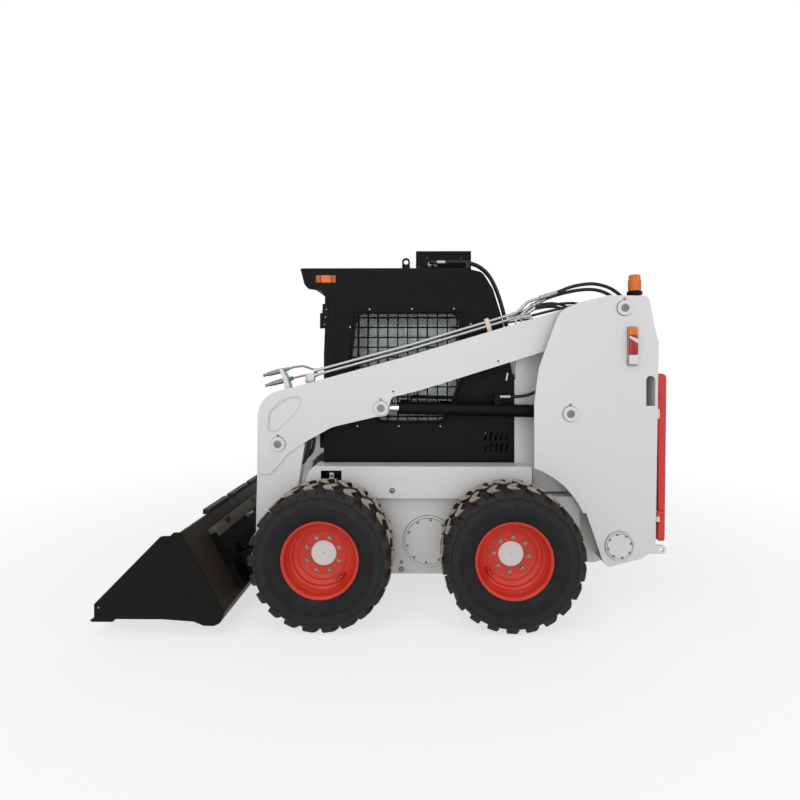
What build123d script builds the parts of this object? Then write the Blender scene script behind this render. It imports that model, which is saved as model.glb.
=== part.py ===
"""Skid steer loader: a compact wheeled loader with a cab, lift arms and a bucket.

Units are millimetres. The side views below are drawn from the rear axle: x runs forward from it,
z runs up from the ground and y runs to the machine's left from its middle plane. Each finished
piece is then moved along x, so that the origin is under the middle of the whole machine.
"""
import math
import os

from build123d import *

# ------------------------------------------------------------------ driving dimensions
# Wheels
WHEELBASE = 1102
TYRE_RADIUS = 415
TYRE_WIDTH = 307
RIM_RADIUS = 209.5
RIM_FLANGE = 13
RIM_WIDTH = 257
RIM_WALL = 6.5
DISC_RECESS = 140
DISC_RADIUS = 134
DISC_THICK = 10
HUB_RADIUS = 76.2
AXLE_RADIUS = 60
SHAFT_RADIUS = 30

# Half widths, from the cab outwards
CAB_HALF = 420
ARM_GAP = 10
ARM_WIDTH = 120
TOWER_REACH = 70
TYRE_GAP = 23
BUCKET_OVERHANG = 20
CHAINCASE_OUT = 500
CAB_WALL = 30
DOOR_GAP = 7
CAB_INSIDE = CAB_HALF - CAB_WALL
DOOR_HALF = CAB_INSIDE - 5
LEDGE_IN = DOOR_HALF + DOOR_GAP
ARM_IN = CAB_HALF + ARM_GAP
ARM_OUT = ARM_IN + ARM_WIDTH
ARM_MID = (ARM_IN + ARM_OUT) / 2
FENDER_OUT = ARM_OUT
TOWER_OUT = ARM_OUT + TOWER_REACH
TYRE_IN = FENDER_OUT + TYRE_GAP
WHEEL_MID = TYRE_IN + TYRE_WIDTH / 2
BUCKET_HALF = TYRE_IN + TYRE_WIDTH + BUCKET_OVERHANG

# Sheets and plates
TOWER_SHEET = 15
FRAME_WALL = 25
CHAINCASE_IN = CAB_HALF - TOWER_SHEET - FRAME_WALL
CAB_SHEET = 20
FLOOR_SHEET = 12
BUCKET_SHEET = 12
LEG_SHEET = 10
PIN_COLLAR = 46

# Pins: where each turns in the side view, and the clearance of a running fit
FIT = 0.3
ARM_PIVOT = (-713, 1872)
LIFT_BASE = (-384, 1226)
LIFT_EYE = (781, 1253)
TILT_BASE = (1429, 1027)
BUCKET_PIVOT = (1540, 180)
TILT_LEVER = 150
TILT_LEVER_ANGLE = 68
TILT_EYE = (
    BUCKET_PIVOT[0] + TILT_LEVER * math.cos(math.radians(TILT_LEVER_ANGLE)),
    BUCKET_PIVOT[1] + TILT_LEVER * math.sin(math.radians(TILT_LEVER_ANGLE)),
)

# Heights and lengths of the frame
BELLY = 196
CHAINCASE_TOP = 688
LEDGE_TOP = 888
FRAME_FRONT = 1262
FRAME_REAR = -480
LEDGE_FRONT = 1276
TOWER_FRONT = -164
TOWER_REAR = -918
CAB_REAR = -75
CAB_FRONT = 1166
ROOF_TOP = 2158
HOOD_TOP = 1460
DOOR_REAR = -997
TAIL_DOOR_THICK = 50

# Bucket
EDGE_TIP = 2379
HEEL = (1624, 141)
BACK_TOP = (1867, 586)

ORIGIN_SHIFT = -(EDGE_TIP + DOOR_REAR) / 2

parts = {}


# ------------------------------------------------------------------ shape helpers
def side_sheet(rows, y_in, y_out):
    """Extrude a side outline of rows (x, z, corner radius) from y_in out to y_out."""
    points = [(x, z) for x, z, _ in rows]
    radii = [radius for _, _, radius in rows]
    face = make_face(Plane.XZ * FilletPolyline(*points, radius=radii, close=True))
    return Pos(0, y_out, 0) * extrude(face, amount=y_out - y_in, dir=(0, -1, 0))


def block(x, y, z):
    """A box from the pairs of limits x, y and z."""
    size = [high - low for low, high in (x, y, z)]
    middle = [(high + low) / 2 for low, high in (x, y, z)]
    return Pos(*middle) * Box(*size)


def cross_pin(at, y_in, y_out, radius):
    """A cylinder along y at the side-view point."""
    lying = Rot(-90, 0, 0) * Cylinder(radius, y_out - y_in, align=(Align.CENTER, Align.CENTER, Align.MIN))
    return Pos(at[0], y_in, at[1]) * lying


def bar(start, end, radius):
    """A round bar between two points in space."""
    start, end = Vector(*start), Vector(*end)
    plane = Plane(origin=start, z_dir=end - start)
    return plane * Cylinder(radius, (end - start).length, align=(Align.CENTER, Align.CENTER, Align.MIN))


def along(start, end, distance):
    """The side-view point this far along the line from start to end."""
    share = distance / math.dist(start, end)
    return (start[0] + share * (end[0] - start[0]), start[1] + share * (end[1] - start[1]))


def both_sides(solid):
    """The solid and its mirror image on the other side of the machine."""
    return solid, mirror(solid, about=Plane.XZ)


def pair(solid):
    """One compound of the solid and its mirror image."""
    return Compound(children=list(both_sides(solid)))


def shrunk(rows, share):
    """The same outline, drawn in towards its middle."""
    x_mid = sum(x for x, _, _ in rows) / len(rows)
    z_mid = sum(z for _, z, _ in rows) / len(rows)
    return [(x_mid + share * (x - x_mid), z_mid + share * (z - z_mid), share * radius) for x, z, radius in rows]


def hose(route, radius, bend):
    """A round tube along straight runs, with a bend of this radius at each corner."""
    path = FilletPolyline(*route, radius=bend)
    return sweep(Plane(origin=path @ 0, z_dir=path % 0) * Circle(radius), path=path)


def left_and_right(name, solid):
    """Store the solid as name_left and its mirror image as name_right."""
    parts[f"{name}_left"], parts[f"{name}_right"] = both_sides(solid)


# ------------------------------------------------------------------ wheels
def wheel_profile(rows):
    """Turn rows (radius, distance out from the wheel's middle) about the axle."""
    return revolve(make_face(Polyline(*rows, close=True)), axis=Axis.Y)


DISH_STEPS = 4


def rim():
    """The pressed rim with its recessed disc, and the hub bolted to it with its shaft."""
    half = RIM_WIDTH / 2
    lip = RIM_RADIUS + RIM_FLANGE
    seat = half - 12
    well = RIM_RADIUS - 24
    inside = RIM_RADIUS - RIM_WALL
    face = half - DISC_RECESS
    back = face - DISC_THICK
    rows = [
        (lip, half), (lip, half - 7), (RIM_RADIUS, seat), (RIM_RADIUS, 80), (well, 55),
        (well, back - 20), (RIM_RADIUS, back - 45), (RIM_RADIUS, -seat), (lip, 7 - half), (lip, -half),
        (lip - 8, -half), (inside, 5 - seat), (inside, back - 48), (well - RIM_WALL, back - 23),
        (well - RIM_WALL, back), (HUB_RADIUS, back), (HUB_RADIUS, face), (DISC_RADIUS, face),
    ]
    step_out = (well - RIM_WALL - DISC_RADIUS) / DISH_STEPS
    step_up = (58 - face) / DISH_STEPS
    for step in range(DISH_STEPS):
        radius, height = DISC_RADIUS + step * step_out, face + step * step_up
        rows += [(radius + 0.55 * step_out, height + 0.25 * step_up), (radius + step_out, height + step_up)]
    rows += [(inside, 83), (inside, seat - 5), (lip - 8, half)]
    hub_back = back - 30
    hub = cross_pin((0, 0), hub_back, face + 8, HUB_RADIUS)
    shaft = cross_pin((0, 0), hub_back - 60, hub_back, SHAFT_RADIUS)
    return wheel_profile(rows) + hub + shaft


LUG_COUNT = 22
LUG_PITCH = 2 * math.pi / LUG_COUNT
# distance out from the middle, lug's place forward along the tread, lug's half width, groove radius, tip radius
LUG_ROWS = [
    (0, -14, 17, TYRE_RADIUS - 25, TYRE_RADIUS),
    (78, 22, 22, TYRE_RADIUS - 27, TYRE_RADIUS),
    (149, -24, 20, TYRE_RADIUS - 58, TYRE_RADIUS - 19),
]
# radius to the flats, distance out from the middle
BEAD_ROWS = [
    (RIM_RADIUS + RIM_FLANGE + 3, RIM_WIDTH / 2 + 3), (RIM_RADIUS + RIM_FLANGE + 1, RIM_WIDTH / 2 - 11.5),
    (RIM_RADIUS + FIT, RIM_WIDTH / 2 - 12.5),
]


def wheel_point(radius, angle, out):
    """A point at this angle forward from the wheel's top."""
    return (radius * math.sin(angle), out, radius * math.cos(angle))


def lug_corners(step, side):
    """The corners of one lug, row by row: groove and tip behind, then tip and groove in front."""
    rows = []
    for out, place, half, groove, tip in LUG_ROWS:
        middle = (step + (0 if side > 0 else 0.5)) * LUG_PITCH + place / TYRE_RADIUS
        back, front = middle - half / TYRE_RADIUS, middle + half / TYRE_RADIUS
        corners = ((groove, back), (tip, back), (tip, front), (groove, front))
        rows.append([wheel_point(radius, angle, side * out) for radius, angle in corners])
    return rows


def tread_faces(side):
    """The corner points of the faces of one half of the tread."""
    faces = []
    for step in range(LUG_COUNT):
        lug, ahead = lug_corners(step, side), lug_corners(step + 1, side)
        other = lug_corners(step if side > 0 else step + 1, -side)[0]
        faces.append(lug[0])
        for inner, outer in zip(lug, lug[1:]):
            for first in range(3):
                faces += [(inner[first], inner[first + 1], outer[first + 1]), (inner[first], outer[first + 1], outer[first])]
        edge = [lug[0][3], other[0], other[3], ahead[0][0]]
        faces += [(lug[1][3], low, high) for low, high in zip(edge, edge[1:])]
        faces.append((lug[1][3], ahead[0][0], ahead[1][0]))
        faces += [(lug[1][3], ahead[1][0], ahead[2][0]), (lug[1][3], ahead[2][0], lug[2][3])]
    return faces


def wall_faces(side):
    """The corner points of the faces of one sidewall and its bead."""
    faces = []
    start = LUG_ROWS[-1][1] / TYRE_RADIUS
    wall = [
        wheel_point(TYRE_RADIUS - 75, start + half_step * LUG_PITCH / 2, side * TYRE_WIDTH / 2)
        for half_step in range(2 * LUG_COUNT + 3)
    ]
    beads = [
        [wheel_point(flat / math.cos(LUG_PITCH / 2), start + step * LUG_PITCH, side * out) for step in range(LUG_COUNT + 1)]
        for flat, out in BEAD_ROWS
    ]
    for step in range(LUG_COUNT):
        lug, ahead = lug_corners(step, side)[-1], lug_corners(step + 1, side)[-1]
        near = 2 * step + (0 if side > 0 else 1)
        faces += [(lug[first], lug[first + 1], wall[near]) for first in range(3)]
        faces += [
            (lug[3], wall[near + 1], wall[near]), (lug[3], ahead[0], wall[near + 1]), (ahead[0], wall[near + 2], wall[near + 1]),
        ]
        even, bead = 2 * step, beads[0]
        faces += [
            (wall[even], wall[even + 1], bead[step]), (wall[even + 1], wall[even + 2], bead[step + 1]),
            (wall[even + 1], bead[step + 1], bead[step]),
        ]
        for outer, inner in zip(beads, beads[1:]):
            faces.append((outer[step], outer[step + 1], inner[step + 1], inner[step]))
    return faces


def tyre():
    """The tyre, filled, with bent lugs on both halves of its tread."""
    corners = [points for side in (1, -1) for points in tread_faces(side) + wall_faces(side)]
    start, (flat, out) = LUG_ROWS[-1][1] / TYRE_RADIUS, BEAD_ROWS[-1]
    for step in range(LUG_COUNT):
        near, far = start + step * LUG_PITCH, start + (step + 1) * LUG_PITCH
        places = ((near, out), (far, out), (far, -out), (near, -out))
        corners.append([wheel_point(flat / math.cos(LUG_PITCH / 2), angle, across) for angle, across in places])
    return Solid(Shell([Face(Wire.make_polygon(points, close=True)) for points in corners]))


AXLE_OUT = WHEEL_MID + RIM_WIDTH / 2 - DISC_RECESS - DISC_THICK - 30 - FIT
WHEEL_PLACES = {"rear": 0, "front": WHEELBASE}
plain_rim, plain_tyre = rim(), tyre()
for end, axle_x in WHEEL_PLACES.items():
    place = Pos(axle_x, WHEEL_MID, TYRE_RADIUS)
    left_and_right(f"rim_{end}", place * plain_rim)
    left_and_right(f"tyre_{end}", place * plain_tyre)


def axle_housing(axle_x):
    """A flanged tube that carries one wheel's shaft out from the chaincase."""
    centre = (axle_x, TYRE_RADIUS)
    flange = cross_pin(centre, CHAINCASE_OUT, CHAINCASE_OUT + 16, AXLE_RADIUS + 38)
    tube = cross_pin(centre, CHAINCASE_OUT, AXLE_OUT, AXLE_RADIUS)
    return flange + tube - cross_pin(centre, CHAINCASE_OUT + 20, AXLE_OUT, SHAFT_RADIUS + FIT)


housings = [half for axle_x in WHEEL_PLACES.values() for half in both_sides(axle_housing(axle_x))]
parts["axle_housings"] = Compound(children=housings)


# ------------------------------------------------------------------ frame
CHAIN_COVER = ((483, 405), 160)
FOOT_COVER = ((-680, 421), 86)
COVER_THICK = 9


def main_frame():
    """The welded tub: two chaincases, belly, front sill, engine rails and rear walls."""
    bevel = 38
    case_rows = [
        (FRAME_REAR, BELLY + bevel, 0), (FRAME_REAR + bevel, BELLY, 0), (FRAME_FRONT - bevel, BELLY, 0),
        (FRAME_FRONT, BELLY + bevel, 0), (FRAME_FRONT, CHAINCASE_TOP, 0), (FRAME_REAR, CHAINCASE_TOP, 0),
    ]
    wall_out = CAB_HALF - TOWER_SHEET
    wall_rows = [
        (FRAME_REAR, BELLY + bevel, 0), (-600, BELLY + bevel, 0), (-900, 330, 0), (-900, 900, 0), (FRAME_REAR, 900, 0),
    ]
    belly_rows = [
        (FRAME_FRONT, BELLY + bevel, 0), (-600, BELLY + bevel, 0), (-900, 330, 0), (-900, 346, 0),
        (-596, BELLY + bevel + 16, 0), (FRAME_FRONT, BELLY + bevel + 16, 0),
    ]
    tub = side_sheet(belly_rows, -CHAINCASE_IN, CHAINCASE_IN)
    tub += block((FRAME_FRONT - 12, FRAME_FRONT), (-CHAINCASE_IN, CHAINCASE_IN), (BELLY + bevel, LEDGE_TOP))
    tub += block((CAB_FRONT + 8, FRAME_FRONT), (-CHAINCASE_IN, CHAINCASE_IN), (CHAINCASE_TOP - 12, CHAINCASE_TOP))
    for half in both_sides(side_sheet(case_rows, CHAINCASE_IN, CHAINCASE_OUT)):
        tub += half
    for half in both_sides(side_sheet(wall_rows, CHAINCASE_IN, wall_out)):
        tub += half
    for half in both_sides(block((-700, -260), (150, 200), (BELLY + bevel, 330))):
        tub += half
    centre, radius = CHAIN_COVER
    for half in both_sides(cross_pin(centre, CHAINCASE_OUT, CHAINCASE_OUT + COVER_THICK, radius)):
        tub += half
    return tub


def fender():
    """The ledge beside the cab, closed at the front by a box with a tie-down recess."""
    rows = [
        (TOWER_FRONT, LEDGE_TOP, 0), (1204, LEDGE_TOP, 40), (1236, 850, 20), (LEDGE_FRONT, 737, 10),
        (LEDGE_FRONT - 14, CHAINCASE_TOP, 0), (TOWER_FRONT, CHAINCASE_TOP, 0),
    ]
    recess = block((1028, 1158), (FENDER_OUT - 60, FENDER_OUT), (781, 861))
    lug = block((1062, 1124), (FENDER_OUT - 60, FENDER_OUT - 6), (781, 801))
    eye = block((1082, 1104), (FENDER_OUT - 60, FENDER_OUT - 6), (801, 846))
    bore = cross_pin((1093, 826), FENDER_OUT - 70, FENDER_OUT, 9)
    return side_sheet(rows, LEDGE_IN, FENDER_OUT) - recess + lug + (eye - bore)


parts["main_frame"] = main_frame()
parts["fenders"] = pair(fender())


# ------------------------------------------------------------------ towers that carry the arms
ARCH_RADIUS = 505
TOWER_BACK_ROWS = [
    (-435, 1905, 80), (-620, 1950, 60), (-860, 1946, 40), (-893, 1766, 200), (-920, 1660, 100),
    (-900, 402, 60), (-819, 344, 60), (-618, 290, 20), (-587, 312, 10),
]
TOWER_TOP_ROWS = [(TOWER_FRONT, 1292, 200), (-190, 1500, 300), (-320, 1857, 120)]
BOSS_RADIUS = 62
SKIN_FACE = TOWER_OUT - TOWER_SHEET
SLOT_X = (-899, -844)
SLOT_Z = (1274, 1430)


def tower_skin():
    """The outer plate with its arched slot, the collars of the two pins and the tow eye."""
    front_low = [(-480, 620, 0), (TOWER_FRONT, 620, 0)]
    plate = side_sheet(TOWER_BACK_ROWS + front_low + TOWER_TOP_ROWS, SKIN_FACE, TOWER_OUT)
    plate -= cross_pin((0, TYRE_RADIUS), SKIN_FACE - 1, TOWER_OUT + 1, ARCH_RADIUS)
    arch = (SLOT_X[1] - SLOT_X[0]) / 2
    slot = block(SLOT_X, (SKIN_FACE - 1, TOWER_OUT + 1), SLOT_Z)
    slot += cross_pin((SLOT_X[0] + arch, SLOT_Z[1]), SKIN_FACE - 1, TOWER_OUT + 1, arch)
    tow_rows = [(-850, 372, 0), (-962, 372, 18), (-962, 424, 18), (-850, 424, 0)]
    tow_eye = side_sheet(tow_rows, SKIN_FACE, TOWER_OUT) - cross_pin((-938, 398), SKIN_FACE - 1, TOWER_OUT + 1, 13)
    return plate - slot + tow_eye


def tower_inner():
    """The inner plate beside the engine bay."""
    rows = TOWER_BACK_ROWS + [
        (FRAME_REAR - 5, 312, 0), (FRAME_REAR - 5, 700, 0), (TOWER_FRONT - 1, 700, 0), (TOWER_FRONT - 1, LEDGE_TOP, 0),
        (CAB_REAR - 5, LEDGE_TOP, 0), (CAB_REAR - 5, 1428, 0), (-190, 1500, 0), (-320, 1857, 120),
    ]
    return side_sheet(rows, CAB_HALF - TOWER_SHEET, CAB_HALF)


def tower_wall():
    """The sheet that closes the back and the foot between the two plates."""
    inset_rows = [
        (-300, 1990, 0), (-880, 1990, 0), (-880, 1760, 0), (-906, 1656, 80), (-888, 410, 50), (-815, 358, 40),
        (-618, 304, 0), (-300, 304, 0),
    ]
    rows = TOWER_BACK_ROWS[2:] + [(-560, 312, 0), (-560, 1946, 0)]
    wall = side_sheet(rows, CAB_HALF, SKIN_FACE) - side_sheet(inset_rows, CAB_HALF - 1, SKIN_FACE + 1)
    return wall - block((-1000, 0), (CAB_HALF - 1, SKIN_FACE + 1), (1760, 2000))


def wheel_arch():
    """The curved sheet over the rear wheel, behind the outer plate."""
    sheet = cross_pin((0, TYRE_RADIUS), CHAINCASE_OUT, SKIN_FACE, ARCH_RADIUS + 8)
    sheet -= cross_pin((0, TYRE_RADIUS), CHAINCASE_OUT - 1, SKIN_FACE + 1, ARCH_RADIUS)
    return sheet & block((-600, TOWER_FRONT), (CHAINCASE_OUT, SKIN_FACE), (620, 1000))


def tower_pin(centre, radius, boss, inner_end, outer_start):
    """One pin from plate to plate, with a boss at each end and a collar outside."""
    pin = cross_pin(centre, CAB_HALF, SKIN_FACE, radius)
    pin += cross_pin(centre, CAB_HALF, inner_end, boss)
    pin += cross_pin(centre, outer_start, SKIN_FACE, boss)
    return pin


def collars():
    """The collars of the two pins on the outer plate."""
    return [cross_pin(centre, TOWER_OUT, TOWER_OUT + 10, PIN_COLLAR) for centre in (ARM_PIVOT, LIFT_BASE)]


pins = [
    tower_pin(ARM_PIVOT, 30, BOSS_RADIUS, ARM_IN - FIT, ARM_OUT + FIT),
    tower_pin(LIFT_BASE, 22, 36, ARM_MID - 30 - FIT, ARM_MID + 30 + FIT),
]
skin = tower_skin() + cross_pin(FOOT_COVER[0], TOWER_OUT, TOWER_OUT + COVER_THICK, FOOT_COVER[1])
for collar in collars():
    skin += collar
parts["tower_skins"] = pair(skin)
parts["tower_inners"] = pair(tower_inner())
wall_left, wall_right = both_sides(tower_wall())
arch_sheets = both_sides(wheel_arch())
parts["tower_pins"] = Compound(children=[half for pin in pins for half in both_sides(pin)])

HINGE_AXIS = (-932, TOWER_OUT - 45)
KNUCKLE_RADIUS = 14
KNUCKLES = [(558, 620), (1195, 1310)]


def tower_knuckles():
    """The tail door's two hinge knuckles on the left tower's back wall, each with its pin standing up."""
    solid = None
    for low, high in KNUCKLES:
        middle = (low + high) / 2
        post = Pos(HINGE_AXIS[0], HINGE_AXIS[1], low)
        knuckle = post * Cylinder(KNUCKLE_RADIUS, middle - low, align=(Align.CENTER, Align.CENTER, Align.MIN))
        pin = post * Cylinder(7, high - low, align=(Align.CENTER, Align.CENTER, Align.MIN))
        leaf = block((HINGE_AXIS[0], TOWER_REAR + 22), (HINGE_AXIS[1] - 8, HINGE_AXIS[1] + 8), (low, middle))
        piece = knuckle + pin + leaf
        solid = piece if solid is None else solid + piece
    return solid


parts["tower_walls"] = Compound(children=[wall_left + tower_knuckles(), wall_right, *arch_sheets])


# ------------------------------------------------------------------ tail door, hood and engine
def tail_door():
    """The thick rear door with its hinge knuckles over the tower's pins."""
    edge = HINGE_AXIS[1] - 15
    front = DOOR_REAR + TAIL_DOOR_THICK
    rows = [(front, 430, 4), (front, 1471, 4), (DOOR_REAR, 1471, 30), (DOOR_REAR + 12, 430, 12)]
    door = side_sheet(rows, -edge, edge)
    for low, high in KNUCKLES:
        middle = (low + high) / 2
        place = Pos(HINGE_AXIS[0], HINGE_AXIS[1], middle + FIT)
        height = high - middle - FIT
        knuckle = place * Cylinder(KNUCKLE_RADIUS, height, align=(Align.CENTER, Align.CENTER, Align.MIN))
        leaf = block((front - 30, HINGE_AXIS[0]), (edge - 20, HINGE_AXIS[1]), (middle + FIT, high))
        bore = place * Cylinder(7 + FIT, height, align=(Align.CENTER, Align.CENTER, Align.MIN))
        door = door + knuckle + leaf - bore
    louvres = [block((DOOR_REAR - 1, front + 1), (30, 400), (low, low + 26)) for low in range(760, 1240, 60)]
    return door.cut(*[half for louvre in louvres for half in both_sides(louvre)])


def hood():
    """The flat cover over the engine bay, between the towers."""
    half = CAB_HALF - TOWER_SHEET
    top = block((DOOR_REAR + TAIL_DOOR_THICK + 12, CAB_REAR - 8), (-half, half), (HOOD_TOP - 20, HOOD_TOP))
    slots = [
        block((-840 + 90 * step, -800 + 90 * step), (105 - half, half - 105), (HOOD_TOP - 21, HOOD_TOP + 1))
        for step in range(7)
    ]
    for slot in slots:
        top -= slot
    return top


parts["tail_door"] = tail_door()
parts["hood"] = hood()
parts["engine"] = block((-780, -180), (-250, 250), (330, 1000))


# ------------------------------------------------------------------ cab
MARKER_X = (1087, 1219)
MARKER_Z = (2063, 2112)
MARKER_DEPTH = 20


WINDOW_ROWS = [
    (280, 1860, 60), (950, 1860, 60), (985, 1560, 0), (800, 1160, 40), (385, 1160, 60), (280, 1420, 60),
]
LOUVRE_LOWS = (957, 1032)
LOUVRE_COUNT = 5


def cab_louvre(x, low):
    """One slanting slot in the wall beside the engine bay."""
    rows = [(x, low, 0), (x + 13, low, 0), (x + 3, low + 55, 0), (x - 10, low + 55, 0)]
    return side_sheet(rows, CAB_HALF - CAB_WALL - 1, CAB_HALF + 1)


def cab_side():
    """One cab wall with its window cut, from the ledge to the canopy's tip, and a pocket for its lamp."""
    rows = [
        (1321, ROOF_TOP, 8), (1294, 2054, 20), (1272, 2026, 10), (1182, 2012, 10), (1140, 1940, 0), (1159, 1764, 0),
        (CAB_FRONT, 1600, 0), (CAB_FRONT, LEDGE_TOP, 0), (CAB_REAR, LEDGE_TOP, 0), (CAB_REAR, 1427, 100),
        (7, 1848, 0), (60, 2020, 100), (128, 2130, 60), (240, ROOF_TOP, 60),
    ]
    wall = side_sheet(rows, CAB_HALF - CAB_WALL, CAB_HALF)
    pocket_x, pocket_z = [(low - FIT, high + FIT) for low, high in (MARKER_X, MARKER_Z)]
    wall -= block(pocket_x, (CAB_HALF - MARKER_DEPTH - FIT, CAB_HALF + 1), pocket_z)
    slots = [cab_louvre(-30 + 34 * step, low) for low in LOUVRE_LOWS for step in range(LOUVRE_COUNT)]
    return wall.cut(side_sheet(WINDOW_ROWS, CAB_HALF - CAB_WALL - 1, CAB_HALF + 1), *slots)


MESH_PITCH = 65
MESH_BAR = 8
SCREEN_THICK = 5
SCREEN_ROWS = [
    (248, 1876, 60), (972, 1876, 60), (1003, 1556, 0), (812, 1142, 40), (370, 1142, 60), (248, 1416, 60),
]


def cab_screen():
    """The square mesh over one side window, in its border."""
    sheet = side_sheet(SCREEN_ROWS, CAB_HALF, CAB_HALF + SCREEN_THICK)
    inside = side_sheet(shrunk(SCREEN_ROWS, 0.965), CAB_HALF - 1, CAB_HALF + SCREEN_THICK + 1)
    hole = MESH_PITCH - MESH_BAR
    holes = []
    for x in range(SCREEN_ROWS[0][0], SCREEN_ROWS[2][0], MESH_PITCH):
        for z in range(SCREEN_ROWS[3][1], SCREEN_ROWS[0][1], MESH_PITCH):
            cell = inside & block((x, x + hole), (CAB_HALF - 1, CAB_HALF + SCREEN_THICK + 1), (z, z + hole))
            holes += [piece for piece in (cell.solids() if cell else []) if piece.volume > 300]
    return sheet.cut(*holes)


def side_window():
    """The pane in one side wall, behind the mesh."""
    return side_sheet(WINDOW_ROWS, CAB_INSIDE + 4, CAB_INSIDE + 9)


REAR_WINDOW_Z = (1500, 1840)
REAR_WINDOW_HALF = 300


def cab_rear():
    """The sloping rear wall with its window."""
    rows = [
        (CAB_REAR, LEDGE_TOP, 0), (CAB_REAR, 1427, 100), (7, 1848, 0), (60, 2020, 0), (60 + CAB_SHEET, 2012, 0),
        (7 + CAB_SHEET, 1844, 0), (CAB_REAR + CAB_SHEET, 1425, 80), (CAB_REAR + CAB_SHEET, LEDGE_TOP, 0),
    ]
    wall = side_sheet(rows, -CAB_INSIDE, CAB_INSIDE)
    return wall - block((-100, 120), (-REAR_WINDOW_HALF, REAR_WINDOW_HALF), REAR_WINDOW_Z)


def rear_window():
    """The pane in the rear wall."""
    low, high = REAR_WINDOW_Z
    lean = (7 - CAB_REAR) / (1848 - 1427)
    foot = CAB_REAR + 8 + (low - 1427) * lean
    head = foot + (high - low) * lean
    rows = [(foot, low, 0), (head, high, 0), (head + 6, high, 0), (foot + 6, low, 0)]
    return side_sheet(rows, -REAR_WINDOW_HALF, REAR_WINDOW_HALF)


def cab_roof():
    """The roof slab with its canopy and two lifting eyes."""
    rows = [
        (60, 2020, 0), (128, 2130, 60), (240, ROOF_TOP, 60), (1321, ROOF_TOP, 8), (1296, 2062, 10), (1236, 2108, 30),
        (250, 2112, 30), (152, 2090, 30), (82, 2013, 0),
    ]
    roof = side_sheet(rows, -CAB_INSIDE, CAB_INSIDE)
    eye_rows = [(603, ROOF_TOP - 4, 0), (603, 2231, 24), (655, 2231, 24), (655, ROOF_TOP - 4, 0)]
    eye_in, eye_out = CAB_INSIDE - 16, CAB_INSIDE - 4
    eye = side_sheet(eye_rows, eye_in, eye_out) - cross_pin((629, 2204), eye_in - 1, eye_out + 1, 15)
    for half in both_sides(eye):
        roof += half
    return roof


def cab_floor():
    """The seat platform and the footwell floor, one folded sheet between the chaincases."""
    step, sheet = 560, FLOOR_SHEET
    rows = [
        (CAB_REAR + 25, CHAINCASE_TOP - sheet, 0), (step, CHAINCASE_TOP - sheet, 0), (step, 400, 0), (1240, 400, 0),
        (1240, 400 + sheet, 0), (step + sheet, 400 + sheet, 0), (step + sheet, CHAINCASE_TOP, 0),
        (CAB_REAR + 25, CHAINCASE_TOP, 0),
    ]
    return side_sheet(rows, -CHAINCASE_IN, CHAINCASE_IN)


DOOR_HINGE = (CAB_FRONT + 18, CAB_HALF - 18)
DOOR_KNUCKLES = [(980, 1080), (1765, 1865)]


def cab_knuckles():
    """The front door's two hinge knuckles on the left wall's front edge, each with its pin."""
    solid = None
    for low, high in DOOR_KNUCKLES:
        middle = (low + high) / 2
        post = Pos(*DOOR_HINGE, low)
        knuckle = post * Cylinder(11, middle - low, align=(Align.CENTER, Align.CENTER, Align.MIN))
        pin = post * Cylinder(5, high - low, align=(Align.CENTER, Align.CENTER, Align.MIN))
        leaf = block((CAB_FRONT - 34, DOOR_HINGE[0]), (DOOR_HINGE[1], DOOR_HINGE[1] + 8), (low, middle))
        piece = knuckle + pin + leaf
        solid = piece if solid is None else solid + piece
    return solid


cab_left, cab_right = both_sides(cab_side())
parts["cab_sides"] = Compound(children=[cab_left + cab_knuckles(), cab_right])
parts["cab_screens"] = pair(cab_screen())
parts["side_windows"] = pair(side_window())
parts["cab_rear"] = cab_rear()
parts["rear_window"] = rear_window()
parts["cab_roof"] = cab_roof()
parts["cab_floor"] = cab_floor()
parts["air_conditioner"] = block((190, 565), (120 - CAB_HALF, CAB_HALF - 120), (ROOF_TOP, ROOF_TOP + 140))

DOOR_FRAME = 45
FRONT_DOOR_Z = (LEDGE_TOP + 12, 1985)


def front_door():
    """The door's frame, round its pane, with a hinge tube on the machine's left."""
    back, front = CAB_FRONT - 28, CAB_FRONT
    low, high = FRONT_DOOR_Z
    pane_half = DOOR_HALF - DOOR_FRAME
    frame = block((back, front), (-DOOR_HALF, DOOR_HALF), FRONT_DOOR_Z)
    frame -= block((back - 1, front + 1), (-pane_half, pane_half), (low + DOOR_FRAME, high - DOOR_FRAME))
    for bottom, top in DOOR_KNUCKLES:
        middle = (bottom + top) / 2
        place = Pos(*DOOR_HINGE, middle + FIT)
        knuckle = place * Cylinder(11, top - middle - FIT, align=(Align.CENTER, Align.CENTER, Align.MIN))
        leaf = block((front + 2, front + 10), (DOOR_HALF - 50, DOOR_HINGE[1]), (middle + FIT, top))
        leaf += block((front - 4, front + 10), (DOOR_HALF - 50, DOOR_HALF), (middle + FIT, top))
        bore = place * Cylinder(5 + FIT, top - middle - FIT, align=(Align.CENTER, Align.CENTER, Align.MIN))
        frame = frame + knuckle + leaf - bore
    return frame


def door_glass():
    """The pane, held in the door's frame."""
    half = DOOR_HALF - DOOR_FRAME
    low, high = FRONT_DOOR_Z
    return block((CAB_FRONT - 17, CAB_FRONT - 11), (-half, half), (low + DOOR_FRAME, high - DOOR_FRAME))


parts["front_door"] = front_door()
parts["door_glass"] = door_glass()


ROOF_HOSE_RADIUS = 11
# x, z of the corners that both hoses of the air conditioner go by, down to the hood
ROOF_HOSE_ROUTE = [
    (210, ROOF_TOP + 40), (88, 2140), (22, 2010), (-28, 1830), (-62, 1600), (-114, 1520), (-114, HOOD_TOP + FIT),
]


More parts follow.
